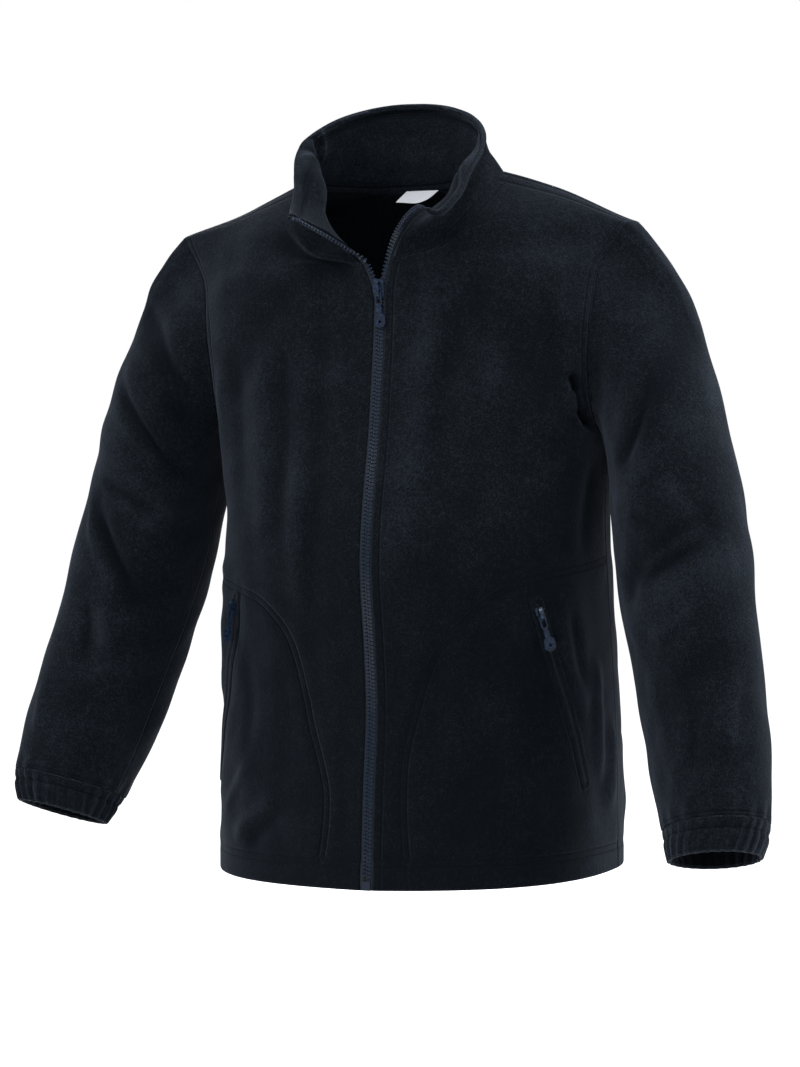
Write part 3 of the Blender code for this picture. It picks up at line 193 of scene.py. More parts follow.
FRONT_SPREAD = (
    Spread(0.000, 4.0, 86.0, 0.62, 0.33), Spread(0.260, 6.0, 86.0, 0.62, 0.33),
    Spread(0.455, 2.0, 88.0, 0.62, 0.33), Spread(0.620, 0.0, 86.0, 0.62, 0.33),
    Spread(0.790, -2.0, 74.0, 0.60, 0.33), Spread(0.865, 0.0, 50.0, 0.52, 0.33),
    Spread(0.930, 5.0, 24.0, 0.42, 0.33), Spread(1.000, 8.0, 8.0, 0.36, 0.33),
)
BACK_SPREAD = (
    Spread(0.000, 0.0, -88.0, 0.62, 0.33), Spread(0.400, 0.0, -88.0, 0.62, 0.33),
    Spread(0.620, 0.0, -86.0, 0.60, 0.33), Spread(0.790, 0.0, -74.0, 0.56, 0.33),
    Spread(0.870, -2.0, -52.0, 0.50, 0.25), Spread(0.930, -4.0, -34.0, 0.46, 0.10),
    Spread(0.970, -2.0, -12.0, 0.42, 0.05), Spread(1.000, 8.0, 8.0, 0.36, 0.33),
)
SLEEVE = (
    Ring(0.000, 0.2430, -0.0490, 0.2060, -0.2620, 0.030, 0.083, 0.0, 0.000),
    Ring(0.031, 0.2795, -0.0945, 0.2085, -0.2700, 0.030, 0.083, 0.0, 0.002),
    Ring(0.061, 0.2985, -0.1390, 0.2100, -0.2850, 0.030, 0.081, 2.0, 0.004),
    Ring(0.105, 0.3160, -0.1990, 0.2120, -0.3100, 0.026, 0.078, 4.0, 0.006),
    Ring(0.170, 0.3380, -0.2865, 0.2155, -0.3500, 0.016, 0.073, 8.0, 0.009),
    Ring(0.229, 0.3535, -0.3580, 0.2210, -0.3950, 0.004, 0.069, 11.0, 0.011),
    Ring(0.281, 0.3615, -0.4170, 0.2315, -0.4400, -0.007, 0.065, 13.0, 0.013),
    Ring(0.352, 0.3740, -0.4920, 0.2490, -0.5010, -0.024, 0.061, 16.0, 0.016),
    Ring(0.429, 0.3860, -0.5650, 0.2700, -0.5780, -0.049, 0.057, 18.0, 0.016),
    Ring(0.476, 0.3890, -0.6100, 0.2860, -0.6240, -0.067, 0.052, 19.0, 0.012),
)
CUFF = (
    SLEEVE[-1],
    Ring(0.490, 0.3880, -0.6240, 0.2900, -0.6370, -0.073, 0.048, 19.0, 0.008),
    Ring(0.505, 0.3830, -0.6400, 0.2960, -0.6520, -0.080, 0.042, 19.0, 0.004),
)
COLLAR_LEFT = (
    Rim(0.00, 0.0000, 0.0515, 0.0806, 0.000, 0.000), Rim(0.15, 0.0408, 0.0450, 0.0756, 0.000, 0.000),
    Rim(0.26, 0.0668, 0.0320, 0.0660, 0.000, 0.000), Rim(0.42, 0.0918, 0.0030, 0.0435, 0.004, 0.002),
    Rim(0.57, 0.1013, -0.0280, 0.0178, 0.012, 0.008), Rim(0.71, 0.1003, -0.0580, -0.0077, 0.022, 0.018),
    Rim(0.85, 0.0969, -0.0850, -0.0352, 0.024, 0.028), Rim(0.97, 0.0796, -0.1070, -0.0518, 0.018, 0.030),
    Rim(1.00, 0.0723, -0.1100, -0.0470, 0.016, 0.027),
)
COLLAR_RIGHT = (
    Rim(0.00, 0.0000, 0.0515, 0.0806, 0.000, 0.000), Rim(0.13, 0.0400, 0.0460, 0.0780, 0.000, 0.000),
    Rim(0.29, 0.0815, 0.0250, 0.0630, 0.000, 0.000), Rim(0.42, 0.1005, 0.0000, 0.0420, 0.008, 0.000),
    Rim(0.53, 0.1007, -0.0200, 0.0208, 0.020, 0.004), Rim(0.63, 0.0938, -0.0400, 0.0030, 0.034, 0.008),
    Rim(0.73, 0.0862, -0.0600, -0.0142, 0.046, 0.010), Rim(0.85, 0.0805, -0.0820, -0.0330, 0.046, 0.010),
    Rim(1.00, 0.0719, -0.1080, -0.0440, 0.026, 0.003),
)

# Creases of the panels: height, width, then the row's v and metres from the zip or centre
# back for each point. Their push is also painted on the cloth: light on ridges, shade in
# troughs.
FRONT_CREASES = creases(
    (0.003, 0.016, 0.43, 0.196, 0.27, 0.212),
    (-0.003, 0.018, 0.25, 0.236, 0.1, 0.246),
    (-0.003, 0.02, 0.83, 0.1, 0.7, 0.15),
)
FRONT_LEFT_CREASES = creases(
    (0.0036, 0.019, 0.93, 0.05, 0.88, 0.058, 0.801, 0.05, 0.72, 0.04, 0.64, 0.034, 0.4, 0.031, 0.25, 0.026),
    (-0.0024, 0.014, 0.85, 0.083, 0.78, 0.078, 0.707, 0.062, 0.62, 0.055, 0.48, 0.058),
    (0.0024, 0.015, 0.88, 0.11, 0.8, 0.118, 0.72, 0.112, 0.64, 0.098),
    (-0.0021, 0.013, 0.88, 0.15, 0.8, 0.16, 0.72, 0.172, 0.66, 0.186),
    (0.0021, 0.012, 0.79, 0.186, 0.72, 0.192, 0.65, 0.2, 0.56, 0.206),
    (-0.008, 0.0044, 0.716, 0.184, 0.703, 0.19, 0.684, 0.194),
    (-0.0085, 0.0046, 0.668, 0.196, 0.652, 0.203, 0.634, 0.215),
    (-0.004, 0.0026, 0.7, 0.192, 0.678, 0.196, 0.655, 0.199),
    (0.0024, 0.006, 0.715, 0.176, 0.68, 0.183, 0.645, 0.192),
    (-0.0027, 0.01, 0.6, 0.226, 0.52, 0.222, 0.44, 0.22),
    (0.0042, 0.0085, 0.42, 0.1886, 0.329, 0.1905, 0.271, 0.2031, 0.2, 0.215),
    (-0.0038, 0.007, 0.4, 0.198, 0.32, 0.201, 0.25, 0.212),
    (0.0056, 0.0075, 0.33, 0.231, 0.265, 0.231, 0.194, 0.2365, 0.116, 0.244),
    (0.0042, 0.008, 0.24, 0.26, 0.18, 0.264, 0.08, 0.264),
    (-0.0018, 0.015, 0.22, 0.12, 0.12, 0.1, 0.05, 0.11),
    (0.0018, 0.016, 0.3, 0.105, 0.18, 0.14, 0.08, 0.16),
)
FRONT_RIGHT_CREASES = creases(
    # A dent under the collar, whose push also paints shade there, where the collar's shadow falls.
    (-0.0056, 0.019, 0.965, 0.01, 0.93, 0.015, 0.895, 0.02, 0.862, 0.028, 0.83, 0.038),
    (0.0031, 0.013, 0.85, 0.126, 0.76, 0.12, 0.677, 0.123, 0.523, 0.118, 0.42, 0.122),
    (-0.0024, 0.012, 0.8, 0.098, 0.7, 0.094, 0.562, 0.092, 0.44, 0.094),
    (0.0026, 0.012, 0.64, 0.074, 0.536, 0.072, 0.42, 0.067, 0.34, 0.064),
    (-0.0022, 0.014, 0.82, 0.058, 0.68, 0.05, 0.54, 0.046, 0.4, 0.044),
    (-0.0026, 0.014, 0.8, 0.16, 0.7, 0.156, 0.6, 0.152, 0.48, 0.15),
    (0.0024, 0.01, 0.76, 0.182, 0.69, 0.186, 0.62, 0.196, 0.52, 0.198),
    (-0.0051, 0.006, 0.7, 0.205, 0.672, 0.213, 0.64, 0.224),
    (0.0037, 0.0085, 0.05, 0.162, 0.084, 0.134, 0.115, 0.094),
    (-0.0027, 0.008, 0.045, 0.14, 0.075, 0.112, 0.095, 0.086),
    (0.0024, 0.0075, 0.08, 0.188, 0.13, 0.16, 0.17, 0.13),
    (-0.0027, 0.011, 0.33, 0.15, 0.24, 0.14, 0.15, 0.15),
    (0.0034, 0.009, 0.4, 0.192, 0.32, 0.194, 0.24, 0.206),
    (0.0031, 0.009, 0.26, 0.25, 0.16, 0.256, 0.07, 0.258),
)
BACK_CREASES = creases(
    (-0.0035, 0.02, 0.84, 0.11, 0.7, 0.15),
    (-0.0035, 0.022, 0.42, 0.06, 0.33, 0.15),
    (0.003, 0.022, 0.26, 0.09, 0.06, 0.1),
)
BACK_LEFT_CREASES = creases(
    (0.0032, 0.012, 0.82, 0.15, 0.74, 0.172, 0.67, 0.2),
    (-0.0026, 0.01, 0.78, 0.12, 0.69, 0.155, 0.64, 0.185),
    (0.0029, 0.014, 0.48, 0.2, 0.4, 0.16, 0.36, 0.105),
    (-0.0032, 0.011, 0.44, 0.235, 0.37, 0.19, 0.33, 0.14),
    (0.0026, 0.012, 0.36, 0.235, 0.29, 0.19, 0.27, 0.15),
    (0.0026, 0.016, 0.3, 0.045, 0.18, 0.05, 0.06, 0.04),
    (-0.0022, 0.014, 0.24, 0.15, 0.13, 0.16, 0.05, 0.165),
    (0.0029, 0.012, 0.22, 0.225, 0.12, 0.232, 0.05, 0.236),
    (-0.0029, 0.009, 0.7, 0.215, 0.67, 0.224, 0.64, 0.236),
)
BACK_RIGHT_CREASES = creases(
    (0.0026, 0.013, 0.84, 0.135, 0.75, 0.165, 0.69, 0.192),
    (-0.0029, 0.011, 0.75, 0.105, 0.68, 0.142, 0.65, 0.175),
    (0.0032, 0.013, 0.46, 0.185, 0.39, 0.13, 0.37, 0.075),
    (-0.0026, 0.012, 0.41, 0.23, 0.35, 0.2, 0.31, 0.13),
    (0.0022, 0.011, 0.33, 0.24, 0.27, 0.205, 0.25, 0.16),
    (-0.0022, 0.015, 0.31, 0.07, 0.2, 0.066, 0.08, 0.08),
    (0.0026, 0.013, 0.23, 0.165, 0.14, 0.18, 0.04, 0.176),
    (-0.0026, 0.009, 0.69, 0.212, 0.665, 0.222, 0.64, 0.233),
)
# Creases of the sleeves: (metres down the sleeve, angle from the underarm, front at a
# quarter turn). Their push is also painted on the cloth: light on ridges, shade in troughs.
SLEEVE_LEFT_CREASES = creases(
    (-0.0035, 0.016, 0.07, 2.8, 0.11, 1.1),
    (0.003, 0.018, 0.12, 2.6, 0.16, 0.9),
    (-0.0045, 0.015, 0.215, 2.1, 0.25, 0.8),
    (0.004, 0.016, 0.25, 2.3, 0.29, 0.6),
    (-0.004, 0.015, 0.25, 4.0, 0.23, 5.4),
    (-0.003, 0.016, 0.33, 1.9, 0.38, 0.9),
    (0.0033, 0.007, 0.216, 2.15, 0.232, 1.6, 0.243, 0.95),
    (-0.0027, 0.006, 0.232, 2.05, 0.246, 1.55, 0.256, 0.95),
    (0.003, 0.008, 0.16, 1.6, 0.19, 1.75, 0.218, 1.95),
    (-0.003, 0.007, 0.18, 1.0, 0.2, 1.25, 0.21, 1.55),
    (0.0024, 0.008, 0.275, 1.9, 0.3, 1.4, 0.31, 0.8),
    (-0.0021, 0.008, 0.06, 1.9, 0.095, 1.6, 0.122, 0.95),
    (0.0024, 0.009, 0.34, 2.3, 0.38, 2.0, 0.43, 1.9),
    (-0.0021, 0.008, 0.36, 1.5, 0.4, 1.35, 0.44, 1.3),
    (0.0033, 0.008, 0.215, 4.2, 0.225, 4.8, 0.215, 5.5),
    (0.003, 0.008, 0.262, 3.9, 0.258, 4.6, 0.248, 5.4),
    (-0.0027, 0.008, 0.285, 4.1, 0.292, 4.8, 0.286, 5.5),
    (0.0024, 0.009, 0.11, 4.3, 0.14, 4.9, 0.155, 5.6),
    (-0.0027, 0.008, 0.06, 4.6, 0.09, 5.2, 0.1, 5.8),
)
SLEEVE_RIGHT_CREASES = creases(
    (-0.004, 0.016, 0.05, 2.7, 0.06, 1.1),
    (-0.0035, 0.016, 0.095, 2.4, 0.122, 0.85),
    (0.003, 0.018, 0.14, 2.5, 0.18, 0.9),
    (-0.0045, 0.015, 0.205, 2.0, 0.28, 0.95),
    (-0.004, 0.015, 0.24, 4.0, 0.225, 5.3),
    (0.0035, 0.016, 0.295, 1.4, 0.363, 1.0),
    (-0.0042, 0.0055, 0.045, 3.02, 0.045, 1.91, 0.039, 1.31, 0.027, 0.81),
    (0.0029, 0.007, 0.06, 2.9, 0.062, 1.9, 0.054, 1.3),
    (-0.0038, 0.006, 0.095, 2.47, 0.107, 1.45, 0.122, 0.88),
    (0.0026, 0.0075, 0.112, 2.4, 0.124, 1.5, 0.142, 0.9),
    (-0.0048, 0.006, 0.205, 1.98, 0.238, 1.51, 0.28, 0.95),
    (0.0042, 0.007, 0.195, 2.3, 0.222, 2.02, 0.252, 1.62, 0.296, 1.1),
    (0.0032, 0.007, 0.188, 1.7, 0.2, 1.2, 0.205, 0.8),
    (-0.0029, 0.007, 0.176, 2.1, 0.182, 1.5, 0.186, 0.9),
    (0.0038, 0.006, 0.29, 1.42, 0.325, 1.2, 0.363, 1.02),
    (-0.0029, 0.007, 0.285, 1.7, 0.325, 1.45, 0.37, 1.3),
    (0.0022, 0.009, 0.38, 2.1, 0.41, 1.9, 0.445, 1.85),
    (0.0035, 0.008, 0.212, 4.1, 0.222, 4.8, 0.21, 5.5),
    (0.0029, 0.0085, 0.256, 3.9, 0.262, 4.6, 0.25, 5.3),
    (-0.0032, 0.008, 0.288, 4.2, 0.28, 4.9, 0.292, 5.5),
    (-0.0026, 0.008, 0.07, 4.5, 0.096, 5.1, 0.11, 5.8),
    (0.0026, 0.009, 0.13, 4.2, 0.15, 4.9, 0.15, 5.6),
)
# Creases of the collar: (metres up from the neck seam, metres along it from centre back,
# the wearer's left positive); the second group shapes the inside face only, and its push is
# also painted on the collar: light on ridges, shade in troughs.
COLLAR_CREASES = creases(
    (-0.012, 0.022, 0.03, -0.1, 0.036, -0.14, 0.037, -0.18, 0.034, -0.225),
    (-0.007, 0.02, 0.04, 0.105, 0.045, 0.15, 0.045, 0.2, 0.04, 0.235),
    (-0.0018, 0.01, 0.018, -0.06, 0.03, -0.02, 0.028, 0.03, 0.018, 0.07),
    (0.0015, 0.009, 0.05, -0.08, 0.056, -0.03, 0.052, 0.03),
    (-0.0021, 0.008, 0.03, 0.15, 0.026, 0.18, 0.03, 0.215),
    (-0.0021, 0.008, 0.028, -0.14, 0.022, -0.18, 0.026, -0.21),
)
COLLAR_INNER_CREASES = creases(
    (-0.0045, 0.0055, 0.074, -0.12, 0.05, -0.114, 0.024, -0.116, 0.006, -0.124),
    (0.0045, 0.0055, 0.072, -0.106, 0.048, -0.101, 0.022, -0.104),
    (-0.0039, 0.005, 0.07, -0.165, 0.048, -0.148, 0.026, -0.134),
    (0.0027, 0.006, 0.066, -0.18, 0.044, -0.166, 0.022, -0.15),
)

# Lines of sewing on the panels: (height v, metres from the zip).
POCKET_ARC_LEFT = (
    (0.452, 0.262), (0.446, 0.2347), (0.433, 0.1751), (0.413, 0.1280), (0.381, 0.0969), (0.342, 0.0702),
    (0.304, 0.0533), (0.245, 0.0400), (0.181, 0.0303), (0.110, 0.0300), (0.041, 0.0345),
)
POCKET_ARC_RIGHT = (
    (0.430, 0.262), (0.428, 0.2250), (0.413, 0.1785), (0.394, 0.1212), (0.349, 0.0869), (0.297, 0.0734),
    (0.226, 0.0611), (0.161, 0.0451), (0.110, 0.0388), (0.041, 0.0429),
)
POCKET_LINE = ((0.396, 0.1608), (0.329, 0.1715), (0.230, 0.1935), (0.136, 0.2175))
POCKET_BAG_LINE = ((0.408, 0.1500), (0.385, 0.1530), (0.329, 0.1640), (0.230, 0.1860), (0.128, 0.2120))


# ---------------------------------------------------------------- sums on points
def smooth(table: Sequence[Sequence[float]], at: np.ndarray | float) -> np.ndarray:
    """A table's columns at some places, on a smooth curve through its rows.

    Args:
        table: Rows whose first column is the place.
        at: The places wanted.

    Returns:
        One row of the other columns for each place.
    """
    data = np.array(table, dtype=float)
    knots, values = data[:, 0], data[:, 1:]
    slopes = np.gradient(values, knots, axis=0, edge_order=2 if len(knots) > 2 else 1)
    at = np.atleast_1d(np.asarray(at, dtype=float))
    low = np.clip(np.searchsorted(knots, at, side="right") - 1, 0, len(knots) - 2)
    span = knots[low + 1] - knots[low]
    s = ((at - knots[low]) / span)[:, None]
    span = span[:, None]
    return (
        (2 * s**3 - 3 * s**2 + 1) * values[low]
        + (s**3 - 2 * s**2 + s) * span * slopes[low]
        + (3 * s**2 - 2 * s**3) * values[low + 1]
        + (s**3 - s**2) * span * slopes[low + 1]
    )


def ease(value: np.ndarray | float, start: float, full: float) -> np.ndarray:
    """0 before start, 1 past full, smooth between."""
    s = np.clip((value - start) / (full - start), 0.0, 1.0)
    return s * s * (3.0 - 2.0 * s)


def plateau(value: np.ndarray, start: float, full: float, fade: float, end: float) -> np.ndarray:
    """0 before start, 1 from full to fade, 0 past end, smooth between."""
    return ease(value, start, full) * (1.0 - ease(value, fade, end))


def bell(value: np.ndarray | float, width: float) -> np.ndarray:
    """1 at 0, falling off on both sides over this width."""
    return np.exp(-((value / width) ** 2))


def unit(vectors: np.ndarray) -> np.ndarray:
    """Vectors brought to length 1."""
    length = np.linalg.norm(vectors, axis=-1, keepdims=True)
    return vectors / np.maximum(length, 1e-12)


def run_of(points: np.ndarray) -> np.ndarray:
    """Length of a polyline up to each of its points."""
    steps = np.linalg.norm(np.diff(points, axis=0), axis=1)
    return np.concatenate([[0.0], np.cumsum(steps)])


def picked(points: np.ndarray, length: np.ndarray, at: np.ndarray | float) -> np.ndarray:
    """Points of a polyline at these lengths along it."""
    return np.stack([np.interp(at, length, points[:, k]) for k in range(points.shape[1])], axis=-1)


def spaced(points: np.ndarray, count: int, share: float = 1.0) -> np.ndarray:
    """The first share of a polyline again, as count + 1 points equally far apart."""
    length = run_of(points)
    return picked(points, length, np.linspace(0.0, length[-1] * share, count + 1))


def bent(path: Sequence[tuple[float, float]], count: int = 24) -> np.ndarray:
    """A smooth line through the points of a path."""
    corners = np.array(path, dtype=float)
    if len(corners) == 2:
        return corners
    steps = np.arange(len(corners), dtype=float)
    return smooth(np.column_stack([steps, corners]), np.linspace(0.0, steps[-1], count))


def off_line(place: np.ndarray, line: np.ndarray) -> tuple[np.ndarray, np.ndarray]:
    """How far places lie from a line, with a sign for its two sides, and where along it.

    Args:
        place: Places (..., 2).
        line: The line's points (n, 2).

    Returns:
        Signed distances, and shares of the line's length, both shaped as the places are.
    """
    best = np.full(place.shape[:-1], 1e9)
    signed = best.copy()
    along = np.zeros_like(best)
    length = run_of(line)
    for start, end, at in zip(line, line[1:], length):
        way = end - start
        size = max(float(way @ way), 1e-12)
        away = place - start
        share = np.clip((away @ way) / size, 0.0, 1.0)
        rest = away - share[..., None] * way
        distance = np.linalg.norm(rest, axis=-1)
        nearer = distance < best
        side = np.sign(way[0] * away[..., 1] - way[1] * away[..., 0])
        best = np.where(nearer, distance, best)
        signed = np.where(nearer, distance * np.where(side == 0.0, 1.0, side), signed)
        along = np.where(nearer, (at + share * math.sqrt(size)) / length[-1], along)
    return signed, along


def crease_push(place: np.ndarray, folds: Sequence[Crease], scale: tuple[float, float]) -> np.ndarray:
    """How far each place of the cloth is pushed outwards by the creases.

    Args:
        place: Places of the cloth in metres (..., 2).
        folds: The creases, with their paths in table units.
        scale: Metres for each table unit, down and across.

    Returns:
        Metres for each place, below 0 in a trough.
    """
    push = np.zeros(place.shape[:-1])
    for crease in folds:
        line = bent(crease.path) * np.array(scale)
        distance, along = off_line(place, line)
        taper = plateau(along, 0.0, 0.30, 0.70, 1.0) if len(crease.path) > 2 else 1.0
        push += crease.height * taper * bell(distance, crease.width)
    return push


def undulation(points: np.ndarray, depth: float, seed: float) -> np.ndarray:
    """A shallow uneven swell, as soft cloth has where nothing pulls it flat.

    Args:
        points: Places in metres (..., 3).
        depth: About the largest height of the swell.
        seed: Another number gives another swell.
    """
    swell = np.zeros(points.shape[:-1])
    for k in range(9):
        turn = seed + 2.4 * k
        way = np.array([math.cos(turn), math.sin(1.7 * turn), math.sin(turn) * 0.8])
        wave = 0.034 + 0.011 * ((k * 5) % 7)
        swell += np.sin(points @ way * (2.0 * math.pi / wave) + 1.3 * k * k + seed)
    return swell * depth / 3.6


# ---------------------------------------------------------------- the garment's own stance
@dataclass(frozen=True)
class Stance:
    """The small leanings that the cloth and its trims share."""

    neck_sway: float = -0.006
    neck_from: float = -0.130
    neck_full: float = -0.060
    hem_slope: float = 0.030
    hem_from: float = -0.420
    hem_full: float = -0.690
    hem_sway: float = -0.0025
    shoulder_slope: float = 0.035
    shoulder_in: float = 0.160
    shoulder_out: float = 0.240
    arm_slope: float = -0.014
    arm_from: float = -0.380
    arm_full: float = -0.640
    arm_sway: float = -0.005

    def body(self, points: np.ndarray) -> np.ndarray:
        """Body and collar points as they hang."""
        points = np.array(points, dtype=float)
        x, height = points[..., 0].copy(), points[..., 2].copy()
        upper = ease(height, self.neck_from, self.neck_full)
        between = 1.0 - ease(np.abs(x), self.shoulder_in, self.shoulder_out)
        under_collar = 1.0 - ease(height, -0.010, 0.030)
        points[..., 0] += self.neck_sway * upper
        points[..., 2] += self.shoulder_slope * x * upper * between * under_collar
        hem = ease(height, self.hem_from, self.hem_full)
        points[..., 0] += self.hem_sway * hem * ease(np.abs(x), 0.0, 0.15)
        points[..., 2] += self.hem_slope * x * hem
        return points

    def arm(self, points: np.ndarray) -> np.ndarray:
        """Sleeve and cuff points as they hang."""
        points = np.array(points, dtype=float)
        lower = ease(points[..., 2], self.arm_from, self.arm_full)
        high = ease(points[..., 2], self.hem_from, self.hem_from + 0.1)[..., None]
        settled = points + (self.body(points) - points) * high
        outer = ease(np.abs(points[..., 0]), 0.245, 0.290)
        settled[..., 0] += self.arm_sway * outer * ease(points[..., 2], -0.330, -0.160)
        settled[..., 2] += self.arm_slope * points[..., 0] * lower
        return settled


STANCE = Stance()


class Side(Enum):
    """Which half of the garment, named for the wearer."""

    LEFT = "left"
    RIGHT = "right"

    @property
    def sign(self) -> float:
        """+1 towards the wearer's left."""
        return 1.0 if self is Side.LEFT else -1.0

    def turned(self, points: np.ndarray) -> np.ndarray:
        """Points of a left piece as this side has them."""
        return points * np.array([self.sign, 1.0, 1.0])


# ---------------------------------------------------------------- forms of the cloth
def level(degrees: float) -> np.ndarray:
    """A level way at this angle from +X."""
    turn = math.radians(degrees)
    return np.array([math.cos(turn), math.sin(turn), 0.0])


def panel_row(inner: np.ndarray, outer: np.ndarray, spread: np.ndarray, cut: float,
              columns: int) -> np.ndarray:
    """One row of a panel, from its inner edge to where the armhole cuts it off."""
    leave, meet, full, early = spread
    way_out, way_in = level(leave), level(meet)
    chord = outer - inner
    rise = np.array([0.0, 0.0, chord[2]])
    first = inner + way_out * full * abs(chord @ way_out) + rise * early
    second = outer - way_in * full * abs(chord @ way_in) - rise / 3.0
    s = np.linspace(0.0, 1.0, 241)[:, None]
    curve = (
        (1 - s) ** 3 * inner
        + 3 * s * (1 - s) ** 2 * first
        + 3 * s**2 * (1 - s) * second
        + s**3 * outer
    )
    return spaced(curve, columns, cut)


@dataclass(frozen=True)
class PanelForm:
    """The wearer's-left half of a body panel, before creases."""

    middle: tuple[Edge, ...]
    neckline: tuple[Edge, ...]
    spread: tuple[Spread, ...]
    slope: tuple[Slope, ...]
    is_back: bool
    neck_at: float
    counts: tuple[int, int, int, int]
    columns: int = 90

    def heights(self) -> np.ndarray:
        """The rows' v from the hem to the shoulder, so that seams fall on rows."""
        stops = [0.0, UNDERARM, UNDERARM_TURN, self.neck_at, 1.0]
        heights = [np.array([0.0])]
        for low, high, count in zip(stops, stops[1:], self.counts):
            heights.append(np.linspace(low, high, count + 1)[1:])
        return np.concatenate(heights)

    def grid(self) -> np.ndarray:
        """Rows of points from the hem to the shoulder seam."""
        rows = []
        for v in self.heights():
            inner = smooth(self.middle if v <= self.neck_at else self.neckline, v)[0]
            side = smooth(self.slope, v)[0][0] if self.slope and v > UNDERARM else v
            outer = smooth(SIDE_LINE, side)[0]
            hole = smooth(ARMHOLE, side)[0]
            cut = 1.0
            if v > UNDERARM:
                cut = hole[1 if self.is_back else 0]
                outer[1] += hole[3] if self.is_back else -hole[2]
            rows.append(panel_row(inner, outer, smooth(self.spread, v)[0], cut, self.columns))
        return np.array(rows)


FRONT_FORM = PanelForm(CENTRE_FRONT, FRONT_NECKLINE, FRONT_SPREAD, (), False, FRONT_NECK,
                       (150, 12, 52, 40))
BACK_FORM = PanelForm(CENTRE_BACK, BACK_NECKLINE, BACK_SPREAD, BACK_SLOPE, True, BACK_NECK,
                      (150, 12, 74, 16))


def across_rows(grid: np.ndarray) -> np.ndarray:
    """Metres along each row from its first point."""
    steps = np.linalg.norm(np.diff(grid, axis=1), axis=2)
    return np.concatenate([np.zeros((len(grid), 1)), np.cumsum(steps, axis=1)], axis=1)


def ring_frame(ring: np.ndarray) -> tuple[np.ndarray, np.ndarray, np.ndarray, np.ndarray]:
    """Centre of a sleeve ring, its half vectors to the outer side and the front, and down."""
    x_outer, z_outer, x_under, z_under, y, deep, fore, skew = ring
    outer = np.array([x_outer, y, z_outer])
    under = np.array([x_under, y, z_under])
    reach = (outer - under) / 2.0
    across = unit(reach)
    down = np.array([across[2], 0.0, -across[0]])
    tip = math.radians(fore)
    front = np.array([0.0, -math.cos(tip), 0.0]) - down * math.sin(tip)
    down = down * math.cos(tip) + np.array([0.0, -math.sin(tip), 0.0])
    return (outer + under) / 2.0, reach, front * deep + across * skew, down


def tube_ring(table: Sequence[Ring], along: float, angles: np.ndarray) -> np.ndarray:
    """Points of one ring; angle 0 is the underarm, a quarter turn on is the front."""
    centre, reach, front, _ = ring_frame(smooth(table, along)[0])
    turn = np.asarray(angles)[:, None]
    return centre - np.cos(turn) * reach + np.sin(turn) * front


def grid_normals(grid: np.ndarray, closed: bool) -> np.ndarray:
    """The way a grid of points faces, pointing from rows crossed with columns."""
    if closed:
        wide = np.concatenate([grid[:, -1:], grid, grid[:, :1]], axis=1)
        along_rows = np.gradient(wide, axis=1)[:, 1:-1]
    else:
        along_rows = np.gradient(grid, axis=1)
    return unit(np.cross(along_rows, np.gradient(grid, axis=0)))


# ---------------------------------------------------------------- meshes
def new_piece(name: str, points: np.ndarray, faces: Sequence[Sequence[int]]) -> bpy.types.Object:
    """A mesh object at the origin, with its place in its mesh."""
    mesh = bpy.data.meshes.new(name)
    mesh.from_pydata(np.asarray(points, dtype=float).tolist(), [], [tuple(face) for face in faces])
    mesh.update()
    mesh.polygons.foreach_set("use_smooth", [True] * len(mesh.polygons))
    piece = bpy.data.objects.new(name, mesh)
    bpy.context.scene.collection.objects.link(piece)
    return piece


def paint(piece: bpy.types.Object, name: str, values: np.ndarray) -> None:
    """Stores one number for each point of a piece."""
    attribute = piece.data.attributes.new(name, "FLOAT", "POINT")
    attribute.data.foreach_set("value", np.asarray(values, dtype=np.float32).ravel())


